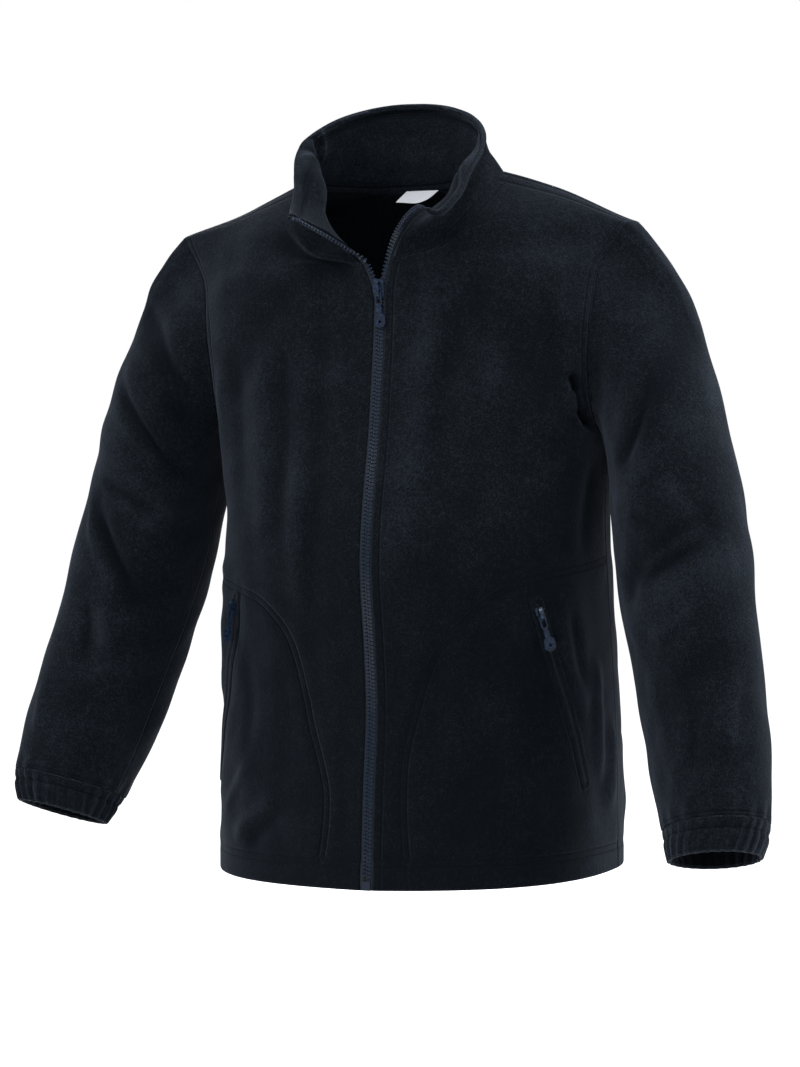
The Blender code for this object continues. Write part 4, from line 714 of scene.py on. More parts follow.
@dataclass
class ShellCloth:
    """A sheet of cloth with two faces and rounded edges.

    Attributes:
        name: Name of the piece.
        grid: Rows of points on the outer face.
        outward: +1 where rows crossed with columns face out of the garment, else -1.
        thickness: One number, or one for each point.
        closed: Whether each row joins its own start.
        sewing: Distances from lines of sewing, one grid for each named line; the painted light and shade of
            the creases is stored with them.
        inner_push: How far the inner face alone stands off its place.
        split: A row and a column. Up to the row this column and the one before it are
            one line of points; above it the sheet is open between them.
        lip_rings: Rings of points that round each open edge.
        overhang: How far a rounded edge stands past the grid's own.
    """

    name: str
    grid: np.ndarray
    outward: float
    thickness: np.ndarray | float
    closed: bool = False
    sewing: dict[str, np.ndarray] = field(default_factory=dict)
    inner_push: np.ndarray | None = None
    split: tuple[int, int] | None = None
    lip_rings: int = 3
    overhang: float = 0.0002

    def normals(self) -> np.ndarray:
        """The way the outer face looks."""
        if self.split is None:
            return grid_normals(self.grid, self.closed) * self.outward
        halves = np.split(self.grid, [self.split[1]], axis=1)
        return np.concatenate([grid_normals(half, False) for half in halves], axis=1) * self.outward

    def edge_loops(self) -> list[list[tuple[int, int]]]:
        """Places of the grid's open edges, each a closed loop."""
        rows, columns = self.grid.shape[:2]
        if self.closed:
            return [[(0, j) for j in range(columns)], [(rows - 1, j) for j in reversed(range(columns))]]
        foot, middle = self.split or (rows - 1, 1)
        loop = [(0, j) for j in range(columns - 1) if self.split is None or j != middle - 1]
        loop += [(i, columns - 1) for i in range(rows - 1)]
        loop += [(rows - 1, j) for j in range(columns - 1, middle - 1, -1)]
        if self.split is not None:
            loop += [(i, middle) for i in range(rows - 2, foot - 1, -1)]
            loop += [(i, middle - 1) for i in range(foot + 1, rows - 1)]
            loop += [(rows - 1, j) for j in range(middle - 1, 0, -1)]
        loop += [(i, 0) for i in range(rows - 1, 0, -1)]
        return [loop]

    def edge_ways(self) -> np.ndarray:
        """For each point of the grid's edges, the way out of the sheet; 0 elsewhere."""
        ways = np.zeros_like(self.grid)
        normals = self.normals() * self.outward
        for loop in self.edge_loops():
            i, j = np.array(loop).T
            line = self.grid[i, j]
            run = np.roll(line, -1, axis=0) - np.roll(line, 1, axis=0)
            ways[i, j] = unit(np.cross(run, normals[i, j]))
        return ways

    def build(self) -> bpy.types.Object:
        """Makes the piece."""
        rows, columns = self.grid.shape[:2]
        normals = self.normals()
        depth = np.broadcast_to(self.thickness, (rows, columns))[..., None]
        ways = self.edge_ways()
        radius = depth / 2.0
        outer = self.grid - ways * (radius - self.overhang)
        inner = outer - normals * depth
        if self.inner_push is not None:
            inner = inner - normals * self.inner_push[..., None]
        points = [outer.reshape(-1, 3), inner.reshape(-1, 3)]
        count = rows * columns
        index = np.arange(count).reshape(rows, columns)
        right = np.roll(index, -1, axis=1) if self.closed else index[:, 1:]
        left = index if self.closed else index[:, :-1]
        if self.split is not None:
            foot, middle = self.split
            index[:foot + 1, middle - 1] = index[:foot + 1, middle]
            right, left = (np.delete(part, middle - 1, axis=1) for part in (index[:, 1:], index[:, :-1]))
        quads = np.stack([left[:-1], right[:-1], right[1:], left[1:]], axis=-1).reshape(-1, 4)
        if self.outward < 0.0:
            quads = quads[:, ::-1]
        faces = [quads, quads[:, ::-1] + count]
        sewing = {name: [np.ravel(values)] * 2 for name, values in self.sewing.items()}
        start = 2 * count
        middle = (outer + inner) / 2.0
        for loop in self.edge_loops():
            i, j = np.array(loop).T
            chain = [index[i, j]]
            for k in range(1, self.lip_rings + 1):
                turn = math.pi * k / (self.lip_rings + 1)
                ring = (
                    middle[i, j]
                    + ways[i, j] * radius[i, j] * math.sin(turn)
                    + (outer[i, j] - middle[i, j]) * math.cos(turn)
                )
                points.append(ring)
                chain.append(start + np.arange(len(loop)))
                start += len(loop)
                for name, values in self.sewing.items():
                    sewing[name] = sewing[name] + [values[i, j]]
            chain.append(index[i, j] + count)
            for one, two in zip(chain, chain[1:]):
                strip = np.stack([np.roll(one, -1), one, two, np.roll(two, -1)], axis=-1)
                faces.append(strip if self.outward > 0.0 else strip[:, ::-1])
        corners = np.concatenate(faces)
        used, corners = np.unique(corners, return_inverse=True)
        piece = new_piece(self.name, np.concatenate(points)[used], corners.reshape(-1, 4).tolist())
        for name, values in sewing.items():
            paint(piece, name, np.concatenate(values)[used])
        return piece


# ---------------------------------------------------------------- finishes
def linear(code: str) -> tuple[float, float, float, float]:
    """A colour written as sRGB hex, in linear numbers."""
    values = [int(code[k:k + 2], 16) / 255.0 for k in (1, 3, 5)]
    return (*(v / 12.92 if v <= 0.04045 else ((v + 0.055) / 1.055) ** 2.4 for v in values), 1.0)


@dataclass
class Paintwork:
    """A material in the making: its nodes are added and joined through here."""

    name: str

    def __post_init__(self) -> None:
        """Starts the material with its shader alone."""
        self.material = bpy.data.materials.new(self.name)
        self.material.use_nodes = True
        self.tree = self.material.node_tree
        self.shader = self.tree.nodes["Principled BSDF"]

    def add(self, kind: str, settings: dict | None = None, **links: object) -> bpy.types.Node:
        """Adds one node.

        Args:
            kind: The node's type, without its ShaderNode prefix.
            settings: Properties of the node.
            links: Inputs by name, or by number (as _0, _1), each a value or an output socket.

        Returns:
            The node.
        """
        node = self.tree.nodes.new("ShaderNode" + kind)
        for key, value in (settings or {}).items():
            setattr(node, key, value)
        for key, value in links.items():
            socket = node.inputs[int(key[1:]) if key.startswith("_") else key]
            if isinstance(value, bpy.types.NodeSocket):
                self.tree.links.new(value, socket)
            else:
                socket.default_value = value
        return node

    def sum(self, operation: str, *values: object) -> bpy.types.NodeSocket:
        """The result of a Math node."""
        links = {f"_{k}": value for k, value in enumerate(values)}
        return self.add("Math", {"operation": operation}, **links).outputs[0]

    @cached_property
    def place(self) -> bpy.types.NodeSocket:
        """Object coordinates, in metres."""
        return self.add("TexCoord").outputs["Object"]

    def noise(self, size: float, detail: float = 2.0, rough: float = 0.5) -> bpy.types.NodeSocket:
        """Noise whose grains are about this size in metres."""
        links = {"Vector": self.place, "Scale": 1.0 / size, "Detail": detail, "Roughness": rough}
        return self.add("TexNoise", **links).outputs["Fac"]

    def ramp(self, value: object, *stops: tuple[float, str]) -> bpy.types.NodeSocket:
        """Colours along a value."""
        node = self.add("ValToRGB", Fac=value)
        band = node.color_ramp
        while len(band.elements) < len(stops):
            band.elements.new(0.5)
        for element, (where, code) in zip(band.elements, stops):
            element.position = where
            element.color = linear(code)
        return node.outputs["Color"]

    def mix(self, share: object, first: object, second: object) -> bpy.types.NodeSocket:
        """Two colours mixed."""
        node = self.add("Mix", {"data_type": "RGBA"}, _0=share, _6=first, _7=second)
        return node.outputs[2]

    def range(self, value: object, *ends: float) -> bpy.types.NodeSocket:
        """A value brought smoothly from one range (two ends) to another (two more)."""
        links = {f"_{k + 1}": end for k, end in enumerate(ends)}
        return self.add("MapRange", {"interpolation_type": "SMOOTHSTEP"}, _0=value, **links).outputs[0]

    def ribs(self, axis: str, width: float) -> bpy.types.NodeSocket:
        """Woven ribs this wide along one of the object's axes, from 0 to 1."""
        along = self.add("SeparateXYZ", Vector=self.place).outputs[axis]
        wave = self.sum("SINE", self.sum("MULTIPLY", along, 2.0 * math.pi / width))
        return self.range(wave, -1.0, 1.0, 0.0, 1.0)

    def wire(self, name: str, value: object) -> None:
        """Joins a socket to the shader, or sets the shader's own number."""
        if isinstance(value, bpy.types.NodeSocket):
            self.tree.links.new(value, self.shader.inputs[name])
        else:
            self.shader.inputs[name].default_value = value

    def bump(self, height: object, depth: float, strength: float = 1.0,
             under: bpy.types.NodeSocket | None = None) -> bpy.types.NodeSocket:
        """A bump of this depth in metres, on top of another one where given."""
        links = {} if under is None else {"Normal": under}
        node = self.add("Bump", Strength=strength, Distance=depth, Height=height, **links)
        return node.outputs["Normal"]

    def finished(self, colour: object, roughness: object, shine: float,
                 relief: object) -> bpy.types.Material:
        """Gives the shader its colour, roughness, shine and relief; returns the material."""
        self.wire("Base Color", colour)
        self.wire("Roughness", roughness)
        self.wire("Specular IOR Level", shine)
        self.wire("Normal", relief)
        return self.material


@dataclass(frozen=True)
class SewnLine:
    """A line of sewing as the cloth around it shows it.

    Attributes:
        attribute: The distance from the line, stored on the cloth.
        gauge: Distance between its two needles, 0 for one needle.
        width: Half the width of the groove each thread pulls.
    """

    attribute: str
    gauge: float = NEEDLE_GAUGE
    width: float = 0.0019


@dataclass(frozen=True)
class Fleece:
    """Navy micro-fleece: matt and near black face on, slate where the nap turns away."""

    deep: str = "#010204"
    middle: str = "#030507"
    pale: str = "#0b0e13"
    nap: str = "#8693a8"
    sheen: float = 0.078
    nap_grain: float = 0.0016
    brushed_patch: float = 0.030
    pill: float = 0.0046
    painted_shading_strength: float = 20.0

    def material(self, name: str, lines: Sequence[SewnLine] = ()) -> bpy.types.Material:
        """The fleece, grooved along its lines of sewing, with painted shade in the grooves and painted
        light and shade that follow the creases.
        """
        work = Paintwork(name)
        patches = work.noise(self.brushed_patch, 3.0, 0.6)
        pills = work.noise(self.pill, 2.0, 0.6)
        grain = work.noise(self.nap_grain, 2.0, 0.7)
        tone = work.sum("MULTIPLY_ADD", patches, 0.14, work.sum("MULTIPLY", pills, 0.22))
        tone = work.sum("MULTIPLY_ADD", grain, 0.64, tone)
        # Painted light and shade: each point's stored crease push lightens ridges and darkens troughs; on
        # the fronts it also carries a painted lighter side and darker belly.
        turned = work.add("Attribute", {"attribute_name": "nap"}).outputs["Fac"]
        tone = work.sum("MULTIPLY_ADD", turned, self.painted_shading_strength, tone)
        colour = work.ramp(tone, (0.39, self.deep), (0.50, self.middle), (0.64, self.pale))
        groove: object = 0.0
        for line in lines:
            away = work.add("Attribute", {"attribute_name": line.attribute}).outputs["Fac"]
            away = work.sum("ABSOLUTE", away)
            if line.gauge:
                away = work.sum("ABSOLUTE", work.sum("SUBTRACT", away, line.gauge / 2.0))
            pulled = work.range(away, 0.0, line.width, 1.0, 0.0)
            groove = pulled if groove == 0.0 else work.sum("MAXIMUM", groove, pulled)
        # Painted shade: the colour darkens towards the deep tone along the grooves of the sewing.
        colour = work.mix(work.sum("MULTIPLY", groove, 0.70), colour, linear(self.deep))
        work.wire("Sheen Weight", self.sheen)
        work.wire("Sheen Roughness", 0.50)
        work.wire("Sheen Tint", linear(self.nap))
        relief = work.bump(work.sum("SUBTRACT", 1.0, groove), 0.0007)
        relief = work.bump(patches, 0.0010, 0.15, relief)
        relief = work.bump(pills, 0.0008, 0.6, relief)
        return work.finished(colour, 0.96, 0.02, work.bump(grain, 0.0007, 0.9, relief))


@dataclass(frozen=True)
class MouldedPlastic:
    """Blue-black moulded plastic of zip teeth, with bright worn crowns."""

    body: str = "#040a13"
    crown: str = "#08111d"

    def material(self, name: str) -> bpy.types.Material:
        """The plastic, a little uneven from tooth to tooth."""
        work = Paintwork(name)
        colour = work.mix(work.noise(0.0060), linear(self.body), linear(self.crown))
        fine = work.noise(0.0005)
        rough = work.range(fine, 0.2, 0.8, 0.24, 0.36)
        return work.finished(colour, rough, 0.11, work.bump(fine, 0.00008, 0.5))


@dataclass(frozen=True)
class LacqueredMetal:
    """Cast metal under steel-blue lacquer, brighter where hands have rubbed it."""

    lacquer: str = "#060f1b"
    rubbed: str = "#122238"

    def material(self, name: str) -> bpy.types.Material:
        """The lacquered metal."""
        work = Paintwork(name)
        wear = work.range(work.noise(0.0028, 3.0), 0.45, 0.75, 0.0, 1.0)
        colour = work.mix(wear, linear(self.lacquer), linear(self.rubbed))
        work.wire("Metallic", 0.30)
        fine = work.noise(0.0004)
        rough = work.range(fine, 0.2, 0.8, 0.20, 0.34)
        return work.finished(colour, rough, 0.22, work.bump(fine, 0.00006, 0.5))


@dataclass(frozen=True)
class WovenTape:
    """Woven polyester zip tape: fine ribs across it, a dull shine."""

    dark: str = "#04070b"
    light: str = "#0a0f16"
    rib: float = 0.0009

    def material(self, name: str) -> bpy.types.Material:
        """The tape, ribbed every rib metres up its length."""
        work = Paintwork(name)
        ribs = work.ribs("Z", self.rib)
        colour = work.mix(ribs, linear(self.dark), linear(self.light))
        relief = work.bump(ribs, 0.00015, 0.8, work.bump(work.noise(0.0005), 0.0001, 0.6))
        return work.finished(colour, 0.75, 0.10, relief)


@dataclass(frozen=True)
class SewingThread:
    """Navy polyester thread, smoother and a touch lighter than the fleece it sinks into."""

    dark: str = "#020306"
    light: str = "#05070b"

    def material(self, name: str) -> bpy.types.Material:
        """The thread."""
        work = Paintwork(name)
        twist = work.noise(0.0004, 1.0)
        colour = work.mix(twist, linear(self.dark), linear(self.light))
        return work.finished(colour, 0.80, 0.08, work.bump(twist, 0.0001, 0.8))


@dataclass(frozen=True)
class SatinRibbon:
    """White woven satin of the neck label, with its fine ribs; it carries nothing.

    The lamps are strong for the sake of the dark fleece, so its white is a mid grey.
    """

    white: str = "#7f8185"
    shade: str = "#6c6e72"
    rib: float = 0.0006

    def material(self, name: str) -> bpy.types.Material:
        """The ribbon."""
        work = Paintwork(name)
        ribs = work.ribs("X", self.rib)
        colour = work.mix(ribs, linear(self.white), linear(self.shade))
        work.wire("Sheen Weight", 0.02)
        relief = work.bump(ribs, 0.00008, 0.6, work.bump(work.noise(0.006), 0.0004, 0.5))
        return work.finished(colour, 0.42, 0.15, relief)


@dataclass(frozen=True)
class StudioPaper:
    """Matt white paper of the studio floor."""

    white: str = "#ffffff"

    def material(self, name: str) -> bpy.types.Material:
        """The paper, faintly uneven."""
        work = Paintwork(name)
        work.wire("Base Color", work.mix(work.noise(0.4), linear(self.white), linear("#fefefe")))
        work.wire("Roughness", 0.9)
        return work.material


def dress(piece: bpy.types.Object, material: bpy.types.Material) -> None:
    """Gives a piece its one material."""
    piece.data.materials.clear()
    piece.data.materials.append(material)


# ---------------------------------------------------------------- stitches
@dataclass(frozen=True)
class Stitches:
    """Rows of stitches: short bulging threads laid end to end along lines."""

    pitch: float = 0.0031
    length: float = 0.0026
    thick: float = 0.00042
    sink: float = 0.0005
    sides: int = 5

    def along(self, line: np.ndarray, facing: np.ndarray) -> tuple[np.ndarray, np.ndarray]:
        """Points and faces of the stitches along one line.

        Args:
            line: Points of the line on the cloth's face.
            facing: The way the cloth faces at each of them.

        Returns:
            The points, and faces of four corners each.
        """
        length = run_of(line)
        count = max(int(length[-1] / self.pitch), 1)
        middle = (np.arange(count) + 0.5) * length[-1] / count
        shares = np.array([-0.5, -0.28, 0.0, 0.28, 0.5])
        swell = np.array([0.15, 0.85, 1.0, 0.85, 0.15])
        lift = np.array([-1.1, 0.35, 0.65, 0.35, -1.1])
        places = middle[:, None] + shares[None, :] * self.length
        at = picked(line, length, places)
        out = unit(picked(facing, length, places))
        run = unit(np.gradient(at, axis=1))
        side = np.cross(run, out)
        at = at + out * (lift * self.thick / 2.0 - self.sink)[None, :, None]
        turns = np.arange(self.sides) * 2.0 * math.pi / self.sides
        ring = (
            at[:, :, None]
            + side[:, :, None] * (np.cos(turns)[:, None] * (swell * self.thick / 2.0)[:, None, None])
            + out[:, :, None] * (np.sin(turns)[:, None] * (swell * self.thick / 2.0)[:, None, None])
        )
        sections = len(shares)
        faces = []
        for i in range(sections - 1):
            for k in range(self.sides):
                a, b = i * self.sides + k, i * self.sides + (k + 1) % self.sides
                faces.append((b, a, a + self.sides, b + self.sides))
        quads = np.array(faces)
        offsets = np.arange(count) * sections * self.sides
        return ring.reshape(-1, 3), (quads[None] + offsets[:, None, None]).reshape(-1, 4)

    def piece(self, name: str, lines: Sequence[tuple[np.ndarray, np.ndarray]]) -> bpy.types.Object:
        """All the stitches of several lines as one piece."""
        points, faces, start = [], [], 0
        for line, facing in lines:
            more, quads = self.along(line, facing)
            points.append(more)
            faces.append(quads + start)
            start += len(more)
        return new_piece(name, np.concatenate(points), np.concatenate(faces).tolist())


@dataclass
class ClothMap:
    """Finds places on a piece of cloth by its own measures, down and across in metres.

    Attributes:
        grid: The outer face's points.
        normals: The way it faces.
        down: Each row's measure, growing or falling with the row.
        across: Each point's measure along its row.
    """

    grid: np.ndarray
    normals: np.ndarray
    down: np.ndarray
    across: np.ndarray

    def at(self, down: float, across: float) -> tuple[np.ndarray, np.ndarray]:
        """The point and facing at one place."""
        row = np.interp(down, self.down, np.arange(len(self.down)))
        row = float(np.clip(row, 0, len(self.down) - 1.001))
        i, t = int(row), row % 1.0
        spots = []
        for k in (i, i + 1):
            column = np.interp(across, self.across[k], np.arange(self.grid.shape[1]))
            j = min(int(column), self.grid.shape[1] - 2)
            s = column - j
            for field_ in (self.grid, self.normals):
                spots.append((1.0 - s) * field_[k, j] + s * field_[k, j + 1])
        return (1.0 - t) * spots[0] + t * spots[2], unit((1.0 - t) * spots[1] + t * spots[3])

    def places(self, path: Sequence[Sequence[float]]) -> tuple[np.ndarray, np.ndarray]:
        """The points and facings at the places of a path."""
        points, ways = zip(*(self.at(float(down), float(across)) for down, across in path))
        return np.array(points), np.array(ways)

    def line(self, path: np.ndarray, step: float = 0.0025) -> tuple[np.ndarray, np.ndarray]:
        """The points and facings along a path, a step apart."""
        return self.places(spaced(path, max(int(run_of(path)[-1] / step), 2)))


def sideways(path: np.ndarray) -> np.ndarray:
    """The way to the side at each point of a path on the flat cloth."""
    run = unit(np.gradient(path, axis=0))
    return np.column_stack([-run[:, 1], run[:, 0]])


class ClothPiece:
    """A piece cut from fleece, with its stitches and the lines of sewing that show on it."""

    name: str
    piece: bpy.types.Object
    stitches: bpy.types.Object | None = None
    sewn: Sequence[SewnLine] = ()

    def dress(self, fleece: Fleece, thread: bpy.types.Material) -> None:
        """Gives the piece its fleece and its stitches their thread."""
        dress(self.piece, fleece.material("navy_fleece_" + self.name, self.sewn))
        if self.stitches is not None:
            dress(self.stitches, thread)


# ---------------------------------------------------------------- body panels
@dataclass
class BodyPanel(ClothPiece):
    """What the fronts and the back share: their form's measures and their hem.

    Attributes:
        form: The panel's left half before creases.
        thickness: The cloth alone.
        hem_thickness: The cloth where the hem is turned up.
        hem_groove: Depth of the groove that the hem's sewing pulls.
        swell: Height of the uneven swell of the cloth.
        end_margin: How far the hem's stitches stop short of the panel's end.
    """

    form: PanelForm
    thickness: float = field(default=0.0025, kw_only=True)
    hem_thickness: float = field(default=0.0045, kw_only=True)
    hem_groove: float = field(default=0.0006, kw_only=True)
    swell: float = field(default=0.0009, kw_only=True)
    end_margin: float = field(default=0.004, kw_only=True)

    def measure(self) -> None:
        """Works out the left half and its measures."""
        self.base = self.form.grid()
        self.v = self.form.heights()[:, None]
        self.rows = self.form.heights() * BODY_LENGTH
        self.across = across_rows(self.base)
        self.share = self.across / self.across[:, -1:]
        self.down = np.broadcast_to(self.rows[:, None], self.across.shape)
        self.place = np.stack([self.down, self.across], axis=-1)
        self.broad = plateau(self.share, 0.10, 0.25, 0.85, 0.99) * plateau(self.v, 0.0, 0.08, 0.84, 0.90)

    def hem_pinch(self) -> np.ndarray:
        """How far the hem's sewing pulls the cloth in."""
        return self.hem_groove * bell(self.down - HEM_SEWING, 0.005)

    def depths(self, points: np.ndarray) -> np.ndarray:
        """The cloth's thickness at each point, more in the hem."""
        above = points[..., 2] - points[0, :, 2]
        turned = 1.0 - ease(above, HEM_SEWING, HEM_SEWING + 0.006)
        return self.thickness + (self.hem_thickness - self.thickness) * turned

    def seams(self, across: np.ndarray) -> dict[str, np.ndarray]:
        """Distances from the sewing that every body panel has."""
        edge = self.across[:, -1:] - np.abs(across)
        down = np.broadcast_to(self.rows[:, None], across.shape)
        return {
            "sew_hem": down - HEM_SEWING,
            "sew_armhole": np.where(self.v > UNDERARM_TURN - 0.02, edge - ARMHOLE_SEWING, NO_SEWING),
            "sew_shoulder": BODY_LENGTH - down - SHOULDER_SEWING,
        }

    def hem_paths(self, start: float, end: float, count: int) -> list[np.ndarray]:
        """The hem's two rows of stitches, from start to end across the panel."""
        rows = (HEM_SEWING - NEEDLE_GAUGE / 2.0, HEM_SEWING + NEEDLE_GAUGE / 2.0)
        return [np.array([(row, a) for a in np.linspace(start, end, count)]) for row in rows]

    def seam_paths(self, sign: float, top_share: float, inner: float) -> list[np.ndarray]:
        """The armhole's and shoulder's rows of stitches on one side.

        Args:
            sign: -1 on the right half of a back, else +1.
            top_share: Where the armhole's stitches end, as a share of the panel's height.
            inner: Where the shoulder's stitches start, from the neck.

        Returns:
            Two rows for each seam, one for each needle.
        """
        last, paths = self.across[:, -1], []
        low, high = UNDERARM_TURN * BODY_LENGTH, top_share * BODY_LENGTH
        for away in (-NEEDLE_GAUGE / 2.0, NEEDLE_GAUGE / 2.0):
            seam = sign * (last - ARMHOLE_SEWING - away)
            top = BODY_LENGTH - SHOULDER_SEWING - away
            shoulder = sign * np.linspace(inner, last[-1] - 0.012, 30)
            paths.append(np.array([(row, a) for row, a in zip(self.rows, seam) if low < row < high]))
            paths.append(np.array([(top, a) for a in shoulder]))
        return paths


@dataclass
class FrontPanel(BodyPanel):
    """One front of the jacket, with its hand pocket's stitching.

    Attributes:
        side: Which of the wearer's sides it lies on.
        creases: Creases in table units, besides those both fronts have.
        arc: The stitching that holds the pocket bag.
        arc_groove: Depth of the groove along the arc.
        bag_groove: Depth of the groove along the pocket's lips.
        groove_width: Half the width of both.
        puff_away: How far beside a groove the cloth puffs up most.
        placket: Distance of the zip's topstitching from the edge, 0 for none.
        flat: Width and length of the cut that shows; not used here.
        flat_area: Its area; not used here.
    """

    side: Side
    creases: tuple[Crease, ...]
    arc: tuple[tuple[float, float], ...]
    placket: float = 0.0085
    arc_groove: float = 0.0007
    bag_groove: float = 0.0005
    groove_width: float = 0.006
    puff_away: float = 0.012
    flat: tuple[float, float] = (0.290, 0.720)
    flat_area: float = 0.171
    sewn = (SewnLine("sew_hem"), SewnLine("sew_arc"), SewnLine("sew_zip", 0.0),
            SewnLine("sew_armhole"), SewnLine("sew_pocket", 0.0), SewnLine("sew_shoulder"))

    @property
    def name(self) -> str:
        """The front's node."""
        return "front_" + self.side.value

    def shape(self) -> None:
        """Works out the outer face, its measures and its lines of sewing."""
        self.measure()
        fine = plateau(self.share, 0.015, 0.06, 0.96, 1.0) * plateau(self.v, 0.0, 0.05, 0.93, 0.99)
        push = crease_push(self.place, FRONT_CREASES, ROW_SCALE) * self.broad
        push = push + crease_push(self.place, self.creases, ROW_SCALE) * fine
        push = push + undulation(self.base, self.swell, 1.0 + self.side.sign) * fine
        for path, depth in ((self.arc, self.arc_groove), (POCKET_BAG_LINE, self.bag_groove)):
            off, _ = off_line(self.place, bent(path, 40) * np.array(ROW_SCALE))
            push = push - depth * bell(off, self.groove_width) * fine
            push = push + depth * 0.8 * bell(np.abs(off) - self.puff_away, 0.007) * fine
        push = push - self.hem_pinch()
        base = self.base + grid_normals(self.base, False) * push[..., None]
        self.grid = STANCE.body(self.side.turned(base))
        self.outward = self.side.sign
        facing = grid_normals(self.grid, False) * self.outward
        self.map = ClothMap(self.grid, facing, self.rows, self.across)
        self.depth = self.depths(base)
        self.arc_line = bent(self.arc, 60) * np.array(ROW_SCALE)
        self.bag_line = bent(POCKET_BAG_LINE, 40) * np.array(ROW_SCALE)
        self.sewing = self.seams(self.across) | {
            "sew_arc": off_line(self.place, self.arc_line)[0],
            "sew_zip": self.across - self.placket if self.placket else np.full_like(self.across, NO_SEWING),
            "sew_pocket": off_line(self.place, self.bag_line)[0],
            # Painted light and shade: the crease push, plus a painted lighter side and darker belly low on
            # the front.
            "nap": push + self.painted_lower_light_and_shade(),
        }

    def painted_lower_light_and_shade(self) -> np.ndarray:
        """Painted light and shade low on the front: darker over the belly, lighter towards the side."""
        low = 1.0 - ease(self.v, 0.36, 0.62)
        side = plateau(self.share, 0.70, 0.86, 0.90, 1.0)
        return low * (0.0032 * side - 0.0036 * (1.0 - ease(self.share, 0.55, 0.85)))

    def build(self) -> bpy.types.Object:
        """Makes the front and its stitches."""
        self.shape()
        shell = ShellCloth(self.name + "_cloth", self.grid, self.outward, self.depth, False, self.sewing)
        self.piece = shell.build()
        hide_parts(self.name)
        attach(self.piece, GARMENT)
        self.stitches = self.build_stitches()
        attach(self.stitches, GARMENT)
        return self.piece

    def build_stitches(self) -> bpy.types.Object:
        """The hem, pocket bag, zip, armhole and shoulder stitching."""
        paths = self.hem_paths(0.006, self.across[0, -1] - self.end_margin, 60)
        for away in (-NEEDLE_GAUGE / 2.0, NEEDLE_GAUGE / 2.0):
            paths.append(self.arc_line + sideways(self.arc_line) * away)
        if self.placket:
            zip_rows = np.linspace(self.end_margin, FRONT_NECK * BODY_LENGTH - self.end_margin, 80)
            paths.append(np.array([(row, self.placket) for row in zip_rows]))
        paths += [self.bag_line, *self.seam_paths(1.0, 0.995, 0.004)]
        return Stitches().piece(self.name + "_stitches", [self.map.line(path) for path in paths])


@dataclass
class BackPanel(BodyPanel):
    """The back of the jacket, one piece from side seam to side seam."""

    flat: tuple[float, float] = (0.595, 0.745)
    flat_area: float = 0.388
    name = "back"
    sewn = (SewnLine("sew_hem"), SewnLine("sew_armhole"), SewnLine("sew_shoulder"))

    def half(self, folds: tuple[Crease, ...]) -> tuple[np.ndarray, np.ndarray]:
        """The left half's points with these creases, and their push."""
        fine = (1.0 - ease(self.share, 0.96, 1.0)) * plateau(self.v, 0.0, 0.05, 0.90, 0.955)
        middle = ease(self.share, 0.0, 0.10)
        push = crease_push(self.place, BACK_CREASES, ROW_SCALE) * self.broad
        push = push + crease_push(self.place, folds, ROW_SCALE) * fine * middle
        push = push + undulation(self.base, self.swell, 3.0 + len(folds)) * fine * middle
        push = push - self.hem_pinch()
        return self.base - grid_normals(self.base, False) * push[..., None], push

    def build(self) -> bpy.types.Object:
        """Makes the back and its stitches."""
        self.measure()
        left, left_push = self.half(BACK_LEFT_CREASES)
        right, right_push = self.half(BACK_RIGHT_CREASES)
        whole = np.concatenate([Side.RIGHT.turned(right)[:, ::-1], left], axis=1)
        reach = np.concatenate([-self.across[:, ::-1], self.across], axis=1)
        self.grid = STANCE.body(whole)
        # Painted light and shade: the crease push lightens ridges and darkens troughs.
        nap = np.concatenate([right_push[:, ::-1], left_push], axis=1)
        sewing = self.seams(reach) | {"nap": nap}
        neck = (sum(BACK_FORM.counts[:-1]), left.shape[1])
        shell = ShellCloth("back_cloth", self.grid, -1.0, self.depths(whole), False, sewing, split=neck)
        self.map = ClothMap(self.grid, shell.normals(), self.rows, reach)
        self.piece = shell.build()
        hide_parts("back")
        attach(self.piece, GARMENT)
        self.stitches = self.build_stitches()
        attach(self.stitches, GARMENT)
        return self.piece

    def build_stitches(self) -> bpy.types.Object:
        """The hem, armhole and shoulder stitching."""
        end = self.across[0, -1] - self.end_margin
        paths = self.hem_paths(-end, end, 120)
        for sign in (-1.0, 1.0):
            paths += self.seam_paths(sign, 0.985, 0.010)
        return Stitches().piece("back_stitches", [self.map.line(path) for path in paths])


# ---------------------------------------------------------------- sleeves and cuffs
def armhole_loop() -> tuple[np.ndarray, np.ndarray]:
    """The armhole's points from the underarm up the front and down the back, and their turn."""
    front, back = FRONT_FORM.grid(), BACK_FORM.grid()
    start = FRONT_FORM.counts[0]
    front_edge, back_edge = front[start:, -1], back[start:, -1]
    rising, falling = run_of(front_edge), run_of(back_edge[::-1])
    loop = np.concatenate([front_edge, back_edge[-2:0:-1]])
    up_front, down_back = math.pi * rising / rising[-1], math.pi * falling[1:-1] / falling[-1]
    angles = np.concatenate([up_front, math.pi + down_back])
    return loop, angles


